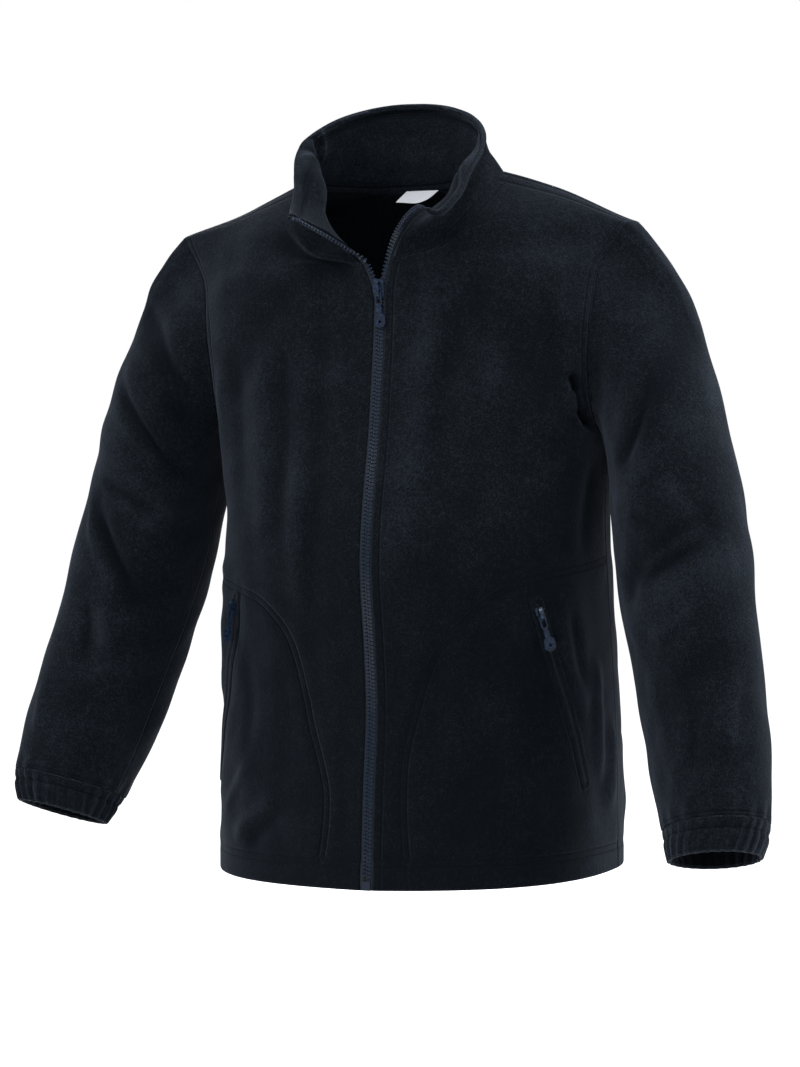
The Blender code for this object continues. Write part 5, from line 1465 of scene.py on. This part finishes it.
@dataclass
class Sleeve(ClothPiece):
    """One sleeve, from the armhole to the cuff seam.

    Attributes:
        side: Which of the wearer's arms it is for.
        creases: Creases, down the sleeve in metres and round it in radians.
        broad_count: How many of them, from the first, are broad ones of the solid.
        swell: Height of the uneven swell of the cloth.
        pucker: Height of the gathers over the cuff.
    """

    side: Side
    creases: tuple[Crease, ...]
    rings: int = 150
    head: float = 0.105
    thickness: float = 0.0025
    broad_count: int = 6
    swell: float = 0.0009
    pucker: float = 0.0009
    gathers: int = 17
    flat: tuple[float, float] = (0.555, 0.610)
    flat_area: float = 0.211
    sewn = (SewnLine("sew_under", 0.0), SewnLine("sew_cuff", 0.0))

    @property
    def name(self) -> str:
        """The sleeve's node."""
        return "sleeve_" + self.side.value

    def build(self) -> bpy.types.Object:
        """Makes the sleeve and its stitches."""
        loop, angles = armhole_loop()
        start = tube_ring(SLEEVE, 0.0, angles)
        length = SLEEVE[-1].along
        along = np.linspace(0.0, length, self.rings + 1)
        held = 1.0 - ease(along, 0.0, self.head)
        base = np.array([tube_ring(SLEEVE, at, angles) for at in along])
        base = base + held[:, None, None] * (loop - start)
        down = np.broadcast_to(along[:, None], base.shape[:2])
        around = np.broadcast_to(angles[None, :] * SLEEVE_RADIUS, base.shape[:2])
        place = np.stack([down, around], axis=-1)
        scale = (1.0, SLEEVE_RADIUS)
        broad = plateau(down, 0.015, 0.050, 0.430, 0.470)
        fine = plateau(down, 0.004, 0.020, length - 0.030, length)
        push = crease_push(place, self.creases[:self.broad_count], scale) * broad
        push = push + crease_push(place, self.creases[self.broad_count:], scale) * fine
        push = push + undulation(base, self.swell, 5.0 + self.side.sign) * fine
        puckers = np.cos(self.gathers * angles + 0.7 * np.sin(2.0 * angles))[None, :]
        push = push + self.pucker * puckers * ease(down, length - 0.022, length - 0.004)
        base = base - grid_normals(base, True) * push[..., None]
        self.grid = STANCE.arm(self.side.turned(base))
        outward = -self.side.sign
        wrapped = np.concatenate([self.grid, self.grid[:, :1]], axis=1)
        facing = grid_normals(self.grid, True) * outward
        facing = np.concatenate([facing, facing[:, :1]], axis=1)
        turns = np.concatenate([angles, [2.0 * math.pi]])
        self.map = ClothMap(wrapped, facing, along, np.broadcast_to(turns, wrapped.shape[:2]))
        under = np.minimum(angles, 2.0 * math.pi - angles)[None, :] * SLEEVE_RADIUS + down * 0.0
        # Painted light and shade: the crease push lightens ridges and darkens troughs.
        sewing = {"sew_under": under, "sew_cuff": down - (length - CUFF_SEWING), "nap": push}
        shell = ShellCloth(self.name + "_cloth", self.grid, outward, self.thickness, True, sewing)
        self.piece = shell.build()
        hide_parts(self.name)
        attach(self.piece, GARMENT)
        self.stitches = self.build_stitches(length)
        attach(self.stitches, GARMENT)
        return self.piece

    def build_stitches(self, length: float) -> bpy.types.Object:
        """The stitching over the cuff seam."""
        ring = [(length - CUFF_SEWING, turn) for turn in np.linspace(0.0, 2.0 * math.pi, 90)]
        return Stitches().piece(self.name + "_stitches", [self.map.places(ring)])


@dataclass
class Cuff(ClothPiece):
    """A turned-in cuff, gathered all round by the elastic inside it."""

    side: Side
    points: int = 360
    rings: int = 26
    gathers: int = 27
    gather_height: float = 0.0009
    second_seam: float = 0.0100
    seam_groove: float = 0.0010
    groove_width: float = 0.0022
    fold_puff: float = 0.0008
    thickness: float = 0.0040
    flat: tuple[float, float] = (0.380, 0.034)
    sewn = (SewnLine("sew_cuff", 0.0),)

    @property
    def name(self) -> str:
        """The cuff's node."""
        return "cuff_" + self.side.value

    def build(self) -> bpy.types.Object:
        """Makes the cuff."""
        angles = np.linspace(0.0, 2.0 * math.pi, self.points, endpoint=False)
        first, last = CUFF[0].along, CUFF[-1].along
        rows = []
        for along in np.linspace(first, last, self.rings + 1):
            ring = tube_ring(CUFF, along, angles)
            centre = ring_frame(smooth(CUFF, along)[0])[0]
            share = (along - first) / (last - first)
            swell = self.gather_height * (0.45 + 0.55 * float(ease(share, 0.0, 0.5)))
            uneven = 1.0 + 0.35 * np.sin(3.0 * angles + 1.0) + 0.20 * np.sin(7.0 * angles + 2.0)
            turn = self.gathers * angles + 0.7 * np.sin(2.0 * angles)
            turn = turn + 0.5 * np.sin(5.0 * angles + 3.0 * share)
            wave = swell * uneven * np.cos(turn) + 0.25 * swell * np.cos(2.3 * turn + 1.0)
            drop = along - first
            pinch = -self.seam_groove * float(bell(drop - self.second_seam, self.groove_width))
            swollen = self.fold_puff * float(ease(drop, self.second_seam, self.second_seam + 0.008))
            rows.append(ring + unit(ring - centre) * (wave + pinch + swollen)[:, None])
        self.grid = STANCE.arm(self.side.turned(np.array(rows)))
        outward = -self.side.sign
        down = np.broadcast_to(np.linspace(0.0, last - first, self.rings + 1)[:, None], self.grid.shape[:2])
        sewing = {"sew_cuff": down - self.second_seam}
        shell = ShellCloth(self.name + "_cloth", self.grid, outward, self.thickness, True, sewing)
        self.piece = shell.build()
        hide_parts(self.name)
        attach(self.piece, GARMENT)
        return self.piece


# ---------------------------------------------------------------- collar
@dataclass
class Collar(ClothPiece):
    """The stand collar, a folded double layer that rolls outwards on both sides."""

    rows: int = 40
    thickness: float = 0.0046
    seam_thickness: float = 0.0025
    let_in: float = 0.0022
    let_in_middle: float = 0.0014
    topstitch: float = 0.0110
    neck_stitch: float = 0.0040
    swell: float = 0.0006
    band_puff: float = 0.0013
    inner_puff: float = 1.6
    groove: float = 0.0007
    inner_groove: float = 0.0016
    groove_width: float = 0.0024
    flat: tuple[float, float] = (0.592, 0.095)
    flat_area: float = 0.040
    name = "collar"
    sewn = (SewnLine("sew_rim", 0.0), SewnLine("sew_neck", 0.0))

    def seam(self) -> np.ndarray:
        """The left half of the neck seam, from centre back to the zip."""
        front, back = FRONT_FORM.grid(), BACK_FORM.grid()
        back_neck, front_neck = sum(BACK_FORM.counts[:-1]), sum(FRONT_FORM.counts[:-1])
        line = np.concatenate([back[back_neck:, 0], front[front_neck:-1, 0][::-1]])
        return spaced(line, 110)

    def half(self, rim_table: tuple[Rim, ...]) -> np.ndarray:
        """Rows of half a collar, each from centre back to the zip."""
        seam = self.seam()
        rim = smooth(rim_table, run_of(seam) / run_of(seam)[-1])
        top = rim[:, :3]
        pull = unit(seam * np.array([-1.0, -1.0, 0.0])) * rim[:, 3:4]
        pull[:, 2] += rim[:, 4]
        bend = (seam + top) / 2.0 + pull
        w = np.linspace(0.0, 1.0, self.rows + 1)[:, None, None]
        return (1 - w) ** 2 * seam + 2 * w * (1 - w) * bend + w**2 * top

    def build(self) -> bpy.types.Object:
        """Makes the collar and its stitches."""
        left, right = self.half(COLLAR_LEFT), self.half(COLLAR_RIGHT)
        whole = np.concatenate([Side.RIGHT.turned(right)[:, :0:-1], left], axis=1)
        seam = self.seam()
        half_run = run_of(seam)
        along = np.concatenate([-half_run[:0:-1], half_run])
        heights = run_of(whole[:, len(half_run) - 1])
        steps = np.linalg.norm(np.diff(whole, axis=0), axis=2)
        up = np.concatenate([np.zeros((1, whole.shape[1])), np.cumsum(steps, axis=0)], axis=0)
        place = np.stack([up, np.broadcast_to(along, up.shape)], axis=-1)
        fade = ease(up, 0.0, 0.008) * ease(up[-1:] - up, 0.0, 0.010)
        ends = 1.0 - ease(np.abs(place[..., 1]), half_run[-1] - 0.030, half_run[-1] - 0.004)
        push = crease_push(place, COLLAR_CREASES, (1.0, 1.0)) + undulation(whole, self.swell, 8.0)
        push = push * fade * ends
        top = up[-1:] - up
        band = (1.0 - ease(top, self.topstitch - 0.0030, self.topstitch)) * (0.4 + 0.6 * ends)
        pinch = bell(top - self.topstitch - 0.0008, self.groove_width)
        push = push + self.band_puff * band - self.groove * pinch
        base = whole - grid_normals(whole, False) * push[..., None]
        let_in = self.let_in + self.let_in_middle * bell(along, 0.014)
        base[0] += unit(base[0] - base[1]) * let_in[:, None]
        self.grid = STANCE.body(base)
        inner = crease_push(place, COLLAR_INNER_CREASES, (1.0, 1.0)) * fade * ends
        # Painted light and shade: lighter on the inside creases' ridges and on the puffed band, darker in
        # their troughs and in the topstitch groove.
        nap = inner + 0.0016 * band - 0.0060 * pinch
        inner = inner + self.inner_puff * self.band_puff * band - self.inner_groove * pinch
        sewing = {"sew_rim": top - self.topstitch, "sew_neck": up - self.neck_stitch, "nap": nap}
        depth = self.seam_thickness + (self.thickness - self.seam_thickness) * ease(up, 0.0, 0.012)
        shell = ShellCloth("collar_cloth", self.grid, -1.0, depth, False, sewing, inner)
        self.piece = shell.build()
        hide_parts("collar")
        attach(self.piece, GARMENT)
        normals = -grid_normals(self.grid, False)
        self.map = ClothMap(self.grid, normals, heights, np.broadcast_to(along, up.shape))
        self.stitches = self.build_stitches(along, top, normals)
        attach(self.stitches, GARMENT)
        return self.piece

    def build_stitches(self, along: np.ndarray, top: np.ndarray, normals: np.ndarray) -> bpy.types.Object:
        """The stitching round the folded edge, on both faces."""
        lines = []
        columns = np.arange(2, len(along) - 2)
        for facing, lift in ((1.0, 0.0), (-1.0, self.thickness)):
            points, ways = [], []
            for j in columns:
                row = np.interp(-self.topstitch, -top[:, j], np.arange(len(top)))
                i, t = int(row), row % 1.0
                point = (1.0 - t) * self.grid[i, j] + t * self.grid[i + 1, j]
                way = unit((1.0 - t) * normals[i, j] + t * normals[i + 1, j])
                points.append(point - way * lift)
                ways.append(way * facing)
            lines.append((np.array(points), np.array(ways)))
        return Stitches().piece("collar_stitches", lines)


# ---------------------------------------------------------------- zips
def start_fresh() -> None:
    """Leaves edit mode and deselects everything, so that operators act on one new piece."""
    if bpy.context.mode != "OBJECT":
        bpy.ops.object.mode_set(mode="OBJECT")
    bpy.ops.object.select_all(action="DESELECT")


@dataclass(frozen=True)
class ZipTooth:
    """One moulded tooth: a foot that grips the tape and a nose that meets the other row."""

    foot: float = 0.0030
    nose: float = 0.0026
    tall: float = 0.0029
    thick: float = 0.0030

    def model(self) -> tuple[np.ndarray, list[tuple[int, ...]]]:
        """Points (across, along, out) and faces of one tooth, its foot's end at 0."""
        start_fresh()
        bpy.ops.mesh.primitive_cube_add(size=1.0, location=(self.foot / 2.0, 0.0, 0.0))
        tooth = bpy.context.object
        tooth.scale = (self.foot, self.tall, self.thick)
        bpy.ops.object.transform_apply(location=True, rotation=True, scale=True)
        bpy.ops.object.mode_set(mode="EDIT")
        bpy.ops.mesh.select_mode(type="FACE")
        bpy.ops.mesh.select_all(action="DESELECT")
        bpy.ops.object.mode_set(mode="OBJECT")
        for face in tooth.data.polygons:
            face.select = face.normal.x > 0.9
        bpy.ops.object.mode_set(mode="EDIT")
        bpy.ops.mesh.inset(thickness=self.tall * 0.16, depth=0.0)
        bpy.ops.mesh.extrude_region_move(TRANSFORM_OT_translate={"value": (self.nose * 0.55, 0.0, 0.0)})
        bpy.ops.transform.resize(value=(1.0, 0.92, 1.0), center_override=(self.foot, 0.0, 0.0))
        bpy.ops.mesh.extrude_region_move(TRANSFORM_OT_translate={"value": (self.nose * 0.45, 0.0, 0.0)})
        bpy.ops.transform.resize(value=(1.0, 0.70, 0.80), center_override=(self.foot + self.nose, 0.0, 0.0))
        bpy.ops.object.mode_set(mode="OBJECT")
        bevel = tooth.modifiers.new("rounded", "BEVEL")
        bevel.width = 0.00032
        bevel.segments = 1
        bevel.limit_method = "ANGLE"
        bevel.angle_limit = math.radians(40.0)
        bpy.ops.object.modifier_apply(modifier=bevel.name)
        points = np.array([tuple(corner.co) for corner in tooth.data.vertices])
        faces = [tuple(face.vertices) for face in tooth.data.polygons]
        bpy.data.objects.remove(tooth, do_unlink=True)
        return points, faces


def along_zip(line: np.ndarray, facing: np.ndarray, at: float) -> np.ndarray:
    """A zip's place, its way across, its way along and its way out at a length along it."""
    length = run_of(line)
    place = picked(line, length, at)
    way = unit(picked(line, length, at + 0.001) - place)
    out = picked(facing, length, at)
    out = unit(out - way * (out @ way))
    return np.array([place, np.cross(way, out), way, out])


def repeated(name: str, points: np.ndarray, faces: list[tuple[int, ...]],
             frames: Sequence[tuple[np.ndarray, np.ndarray]]) -> bpy.types.Object:
    """Copies of one small piece, each with its own points, joined into a row.

    Args:
        name: Name of the row.
        points: The small piece's points.
        faces: Its faces.
        frames: For each copy its place, and three rows that its axes turn into.
    """
    all_points, all_faces = [], []
    for k, (place, axes) in enumerate(frames):
        all_points.append(place + points @ axes)
        flip = np.linalg.det(axes) < 0.0
        for face in faces:
            moved = tuple(corner + k * len(points) for corner in face)
            all_faces.append(moved[::-1] if flip else moved)
    row = new_piece(name, np.concatenate(all_points), all_faces)
    row.data.set_sharp_from_angle(angle=math.radians(35.0))
    return row


def swept(name: str, line: np.ndarray, facing: np.ndarray, section: Sequence[tuple[float, float]],
          closed: bool = False, reach: np.ndarray | None = None) -> bpy.types.Object:
    """A strip whose section, (sideways, outwards) from a line, runs along that line.

    Args:
        name: Name of the strip.
        line: The line's points.
        facing: The way out of the cloth at each of them.
        section: Corners of the section.
        closed: Whether the line joins its own start.
        reach: How much wider the section is at each point, 1 where not given.
    """
    run = np.gradient(line, axis=0)
    if closed:
        run = np.roll(line, -1, axis=0) - np.roll(line, 1, axis=0)
    run = unit(run)
    out = unit(facing - run * (facing * run).sum(axis=1, keepdims=True))
    side = np.cross(run, out)
    shape = np.array(section)
    wide = np.ones(len(line)) if reach is None else reach
    rings = line[:, None] + shape[None, :, 0:1] * side[:, None] * wide[:, None, None]
    rings = rings + shape[None, :, 1:2] * out[:, None]
    count, corners = rings.shape[:2]
    faces = []
    for i in range(count if closed else count - 1):
        for k in range(corners):
            a, b = i * corners + k, i * corners + (k + 1) % corners
            c, d = (a + corners) % (count * corners), (b + corners) % (count * corners)
            faces.append((a, b, d, c))
    if not closed:
        faces.append(tuple(range(corners))[::-1])
        faces.append(tuple(range((count - 1) * corners, count * corners)))
    return new_piece(name, rings.reshape(-1, 3), faces)


@dataclass
class FrontZip:
    """The open-ended front zip: two tapes, two rows of moulded teeth, box, slider, pull."""

    fronts: dict[Side, FrontPanel]
    collar: Collar
    cloth: float = 0.0025
    flat_below: float = -0.104
    turned_above: float = -0.080
    pitch: float = 0.0037
    tape_width: float = 0.0060
    tape_open: float = 0.0034
    near: float = 0.0016
    box_height: float = 0.0098
    first_tooth: float = 0.0032
    last_tooth: float = 0.0015
    half_tape: float = 0.0005

    def edge(self, side: Side) -> tuple[np.ndarray, np.ndarray]:
        """Middle of the cloth along one side of the zip, hem to collar corner, and its facing."""
        front = self.fronts[side]
        neck_row = sum(FRONT_FORM.counts[:-1])
        column = -1 if side is Side.LEFT else 0
        collar = self.collar.map
        line = np.concatenate([front.grid[:neck_row + 1, 0], collar.grid[1:, column]])
        facing = np.concatenate([front.map.normals[:neck_row + 1, 0], collar.normals[1:, column]])
        turned = ease(line[:, 2], self.flat_below, self.turned_above)
        turned[neck_row:] = 1.0
        facing[:, 0] *= turned
        facing[:, 2] *= turned
        facing = unit(facing)
        thicker = ease(np.arange(len(line)), neck_row - 4, neck_row + 6)
        depth = self.cloth / 2.0 + (self.collar.thickness - self.cloth) / 2.0 * thicker
        line = line - facing * depth[:, None]
        fine = spaced(np.column_stack([line, facing]), 420)
        return fine[:, :3], unit(fine[:, 3:])

    def build(self) -> list[bpy.types.Object]:
        """Makes the tapes and teeth."""
        self.tapes: list[bpy.types.Object] = []
        self.teeth: list[bpy.types.Object] = []
        points, faces = ZipTooth().model()
        for side in Side:
            line, facing = self.edge(side)
            sign = -side.sign
            high = sign * self.tape_width
            low, half = -0.1 * high, self.half_tape
            section = [(low, -half), (high, -half), (high, half), (low, half)]
            if sign < 0.0:
                section = section[::-1]
            narrow = ease(line[:, 2], self.flat_below - 0.004, self.turned_above)
            narrow = narrow * (1.0 - self.tape_open / self.tape_width)
            tape = swept("zip_tape_" + side.value + "_woven", line, facing, section, reach=1.0 - narrow)
            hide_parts("zip_tape_" + side.value)
            self.tapes.append(tape)
            frames = []
            first = self.box_height + self.first_tooth + (0.0 if side is Side.LEFT else self.pitch / 2.0)
            for at in np.arange(first, run_of(line)[-1] - self.last_tooth, self.pitch):
                place, across, way, out = along_zip(line, facing, at)
                frames.append((place + across * sign * self.near, np.array([across * sign, way, out])))
            row = repeated("zip_teeth_" + side.value + "_moulded", points, faces, frames)
            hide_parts("zip_teeth_" + side.value)
            self.teeth.append(row)
        for piece in self.tapes + self.teeth:
            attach(piece, GARMENT)
        return self.tapes + self.teeth

    def dress(self, tape: bpy.types.Material, plastic: bpy.types.Material,
              metal: bpy.types.Material) -> None:
        """Gives the zip its finishes, and rounds the edges of the box, slider and pull."""
        for piece in self.tapes:
            dress(piece, tape)
        for piece in self.teeth:
            dress(piece, plastic)
        for node, material in (("zip_box", plastic), ("zip_slider", metal), ("zip_pull", metal)):
            round_node(node)
            dress(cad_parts[node], material)


def round_node(name: str, width: float = 0.00028) -> None:
    """Softens the edges of a packed hard node without changing its mesh."""
    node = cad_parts[name]
    bevel = node.modifiers.new("cast_edges", "BEVEL")
    bevel.width = width
    bevel.segments = 2
    bevel.limit_method = "ANGLE"
    bevel.angle_limit = math.radians(35.0)
    bevel.harden_normals = False


@dataclass
class HandPocket:
    """A slanted hand pocket: fleece lips round its slot, a fine zip, slider and pull."""

    front: FrontPanel
    lip_out: float = 0.0068
    lip_in: float = 0.0006
    lip_high: float = 0.0013
    coil_pitch: float = 0.0018
    coil_turn: ZipTooth = ZipTooth(0.0008, 0.0007, 0.0011, 0.0009)
    coil_out: float = 0.0004
    coil_in: float = 0.0012

    def __post_init__(self) -> None:
        """Bends the slot's middle line."""
        self.slot = bent(POCKET_LINE, 60) * np.array(ROW_SCALE)

    def ring(self, away: float) -> np.ndarray:
        """Places all round the slot's middle line, this far from it."""
        line = spaced(self.slot, 56)[::-1]
        run = unit(np.gradient(line, axis=0))
        side = sideways(line)
        turns = np.linspace(0.0, math.pi, 9)[1:-1, None]
        top = line[-1] + away * (side[-1] * np.cos(turns) + run[-1] * np.sin(turns))
        foot = line[0] + away * (-side[0] * np.cos(turns) - run[0] * np.sin(turns))
        return np.concatenate([line + side * away, top, (line - side * away)[::-1], foot])

    def build(self) -> list[bpy.types.Object]:
        """Makes the lips and the coil in the slot."""
        name = self.front.side.value
        middle = (self.lip_in + self.lip_out) / 2.0
        half = (self.lip_out - self.lip_in) / 2.0
        line, facing = self.front.map.places(self.ring(middle))
        turns = np.linspace(0.0, math.pi, 7)
        section = [(half * math.cos(turn), self.lip_high * math.sin(turn) ** 0.8) for turn in turns]
        section += [(-half, -0.0004), (half, -0.0004)]
        self.lip = swept(f"pocket_lip_{name}_fleece", line, facing, section, closed=True)
        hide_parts("pocket_lip_" + name)
        line, facing = self.front.map.places(spaced(self.slot, 160))
        points, faces = self.coil_turn.model()
        frames = []
        for k, at in enumerate(np.arange(0.001, run_of(line)[-1] - 0.001, self.coil_pitch / 2.0)):
            place, across, way, out = along_zip(line, facing, at)
            across = across * (1.0 if k % 2 else -1.0)
            place = place + out * self.coil_out - across * self.coil_in
            frames.append((place, np.array([across, way, out])))
        self.coil = repeated(f"pocket_zip_{name}_coil", points, faces, frames)
        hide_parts("pocket_zip_" + name)
        for piece in (self.lip, self.coil):
            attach(piece, GARMENT)
        return [self.lip, self.coil]

    def dress(self, fleece: Fleece, tape: bpy.types.Material, metal: bpy.types.Material) -> None:
        """Gives the pocket its finishes."""
        name = self.front.side.value
        dress(self.lip, fleece.material("navy_fleece_lip_" + name))
        dress(self.coil, tape)
        for node in (f"pocket_{name}_slider", f"pocket_{name}_pull"):
            round_node(node)
            dress(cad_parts[node], metal)


@dataclass
class NeckLabel:
    """The bare woven label that hangs from the back neck seam."""

    left: float = -0.0145
    right: float = 0.0200
    thickness: float = 0.0005
    columns: int = 28
    rows: int = 24
    curl: float = 0.0022
    wave: float = 0.0006
    flat: tuple[float, float] = (0.0350, 0.0348)

    def build(self) -> bpy.types.Object:
        """Makes the label, curling a little at its free end."""
        line = smooth(((0.0, 0.0517, -0.0084), (0.45, 0.0370, -0.0151), (1.0, 0.0210, -0.0236)),
                      np.linspace(0.0, 1.0, self.rows + 1))
        across = np.linspace(self.left, self.right, self.columns + 1)
        grid = np.array([[(x, y, z) for x in across] for y, z in line])
        share = np.linspace(0.0, 1.0, self.rows + 1)[:, None]
        side = (across - self.left) / (self.right - self.left)
        curl = self.curl * share**2 * (side[None, :] - 0.4) ** 2 * 4.0
        grid[..., 2] += curl + self.wave * share * np.sin(side * 7.0)[None, :]
        self.piece = ShellCloth("neck_label_ribbon", grid, 1.0, self.thickness).build()
        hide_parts("neck_label")
        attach(self.piece, GARMENT)
        return self.piece

    def dress(self, satin: bpy.types.Material) -> None:
        """Gives the label its satin."""
        dress(self.piece, satin)


# ---------------------------------------------------------------- studio
@dataclass
class Studio:
    """A pale floor, a white surround, soft lamps and the camera."""

    focal: float = 84.35
    distance: float = 2.5
    turn: float = 21.0
    height: float = -0.272
    shift: tuple[float, float] = (-0.0019, -0.0783)
    floor_height: float = -1.25

    def build(self) -> bpy.types.Object:
        """Makes the floor, the surround, the lamps and the camera."""
        start_fresh()
        bpy.ops.mesh.primitive_circle_add(vertices=96, radius=14.0, fill_type="NGON",
                                          location=(0.0, 0.0, self.floor_height))
        floor = bpy.context.object
        floor.name = "studio_floor"
        bpy.ops.object.transform_apply(location=True, rotation=True, scale=True)
        dress(floor, StudioPaper().material("white_studio_paper"))
        world = bpy.data.worlds.new("white_surround")
        bpy.context.scene.world = world
        world.use_nodes = True
        background = world.node_tree.nodes["Background"]
        background.inputs["Color"].default_value = (1.0, 1.0, 1.0, 1.0)
        background.inputs["Strength"].default_value = 1.0
        self.lamp("key", (-2.0, -1.5, 1.4), 1.5, 155.0)
        self.lamp("side", (2.3, 0.1, 0.9), 1.5, 190.0)
        self.lamp("top", (0.2, -1.2, 2.3), 1.4, 120.0)
        self.lamp("back", (-1.0, 2.4, 1.0), 1.5, 120.0)
        self.camera()
        bpy.context.scene.view_settings.view_transform = "Standard"
        return floor

    def lamp(self, name: str, place: tuple[float, float, float], size: float, power: float) -> None:
        """Adds a soft square lamp that looks at the jacket."""
        light = bpy.data.lights.new("lamp_" + name, "AREA")
        light.energy = power
        light.size = size
        lamp = bpy.data.objects.new("lamp_" + name, light)
        bpy.context.scene.collection.objects.link(lamp)
        lamp.location = place
        aim = Vector((0.0, 0.0, -0.30)) - Vector(place)
        lamp.rotation_euler = aim.to_track_quat("-Z", "Y").to_euler()

    def camera(self) -> None:
        """Adds the camera."""
        lens = bpy.data.cameras.new("studio_camera")
        lens.lens = self.focal
        lens.sensor_width = 36.0
        lens.shift_x, lens.shift_y = self.shift
        camera = bpy.data.objects.new("studio_camera", lens)
        bpy.context.scene.collection.objects.link(camera)
        turn = math.radians(self.turn)
        camera.location = (self.distance * math.sin(turn), -self.distance * math.cos(turn), self.height)
        camera.rotation_euler = (math.pi / 2.0, 0.0, turn)
        bpy.context.scene.camera = camera


def report(piece: bpy.types.Object) -> None:
    """Logs a finished piece."""
    LOG.info("%s: %d points", piece.name, len(piece.data.vertices))


def main() -> None:
    """Builds and dresses the jacket, then the studio."""
    logging.basicConfig(level=logging.INFO, format="%(name)s: %(message)s")
    fleece = Fleece()
    thread = SewingThread().material("navy_thread")
    plastic = MouldedPlastic().material("blue_black_plastic")
    metal = LacqueredMetal().material("steel_blue_lacquer")
    tape = WovenTape().material("navy_zip_tape")
    satin = SatinRibbon().material("white_satin")
    fronts = {
        Side.LEFT: FrontPanel(FRONT_FORM, Side.LEFT, FRONT_LEFT_CREASES, POCKET_ARC_LEFT),
        Side.RIGHT: FrontPanel(FRONT_FORM, Side.RIGHT, FRONT_RIGHT_CREASES, POCKET_ARC_RIGHT, placket=0.0),
    }
    back = BackPanel(BACK_FORM, swell=0.0010)
    collar = Collar()
    sleeves = [Sleeve(Side.LEFT, SLEEVE_LEFT_CREASES), Sleeve(Side.RIGHT, SLEEVE_RIGHT_CREASES)]
    cuffs = [Cuff(Side.LEFT, gather_height=0.0006), Cuff(Side.RIGHT, gather_height=0.0011)]
    for part in (*fronts.values(), back, collar, *sleeves, *cuffs):
        report(part.build())
        part.dress(fleece, thread)
    front_zip = FrontZip(fronts, collar)
    for piece in front_zip.build():
        report(piece)
    front_zip.dress(tape, plastic, metal)
    for side in Side:
        pocket = HandPocket(fronts[side])
        for piece in pocket.build():
            report(piece)
        pocket.dress(fleece, tape, metal)
    label = NeckLabel()
    report(label.build())
    label.dress(satin)
    Studio().build()


if __name__ == "__main__":
    main()
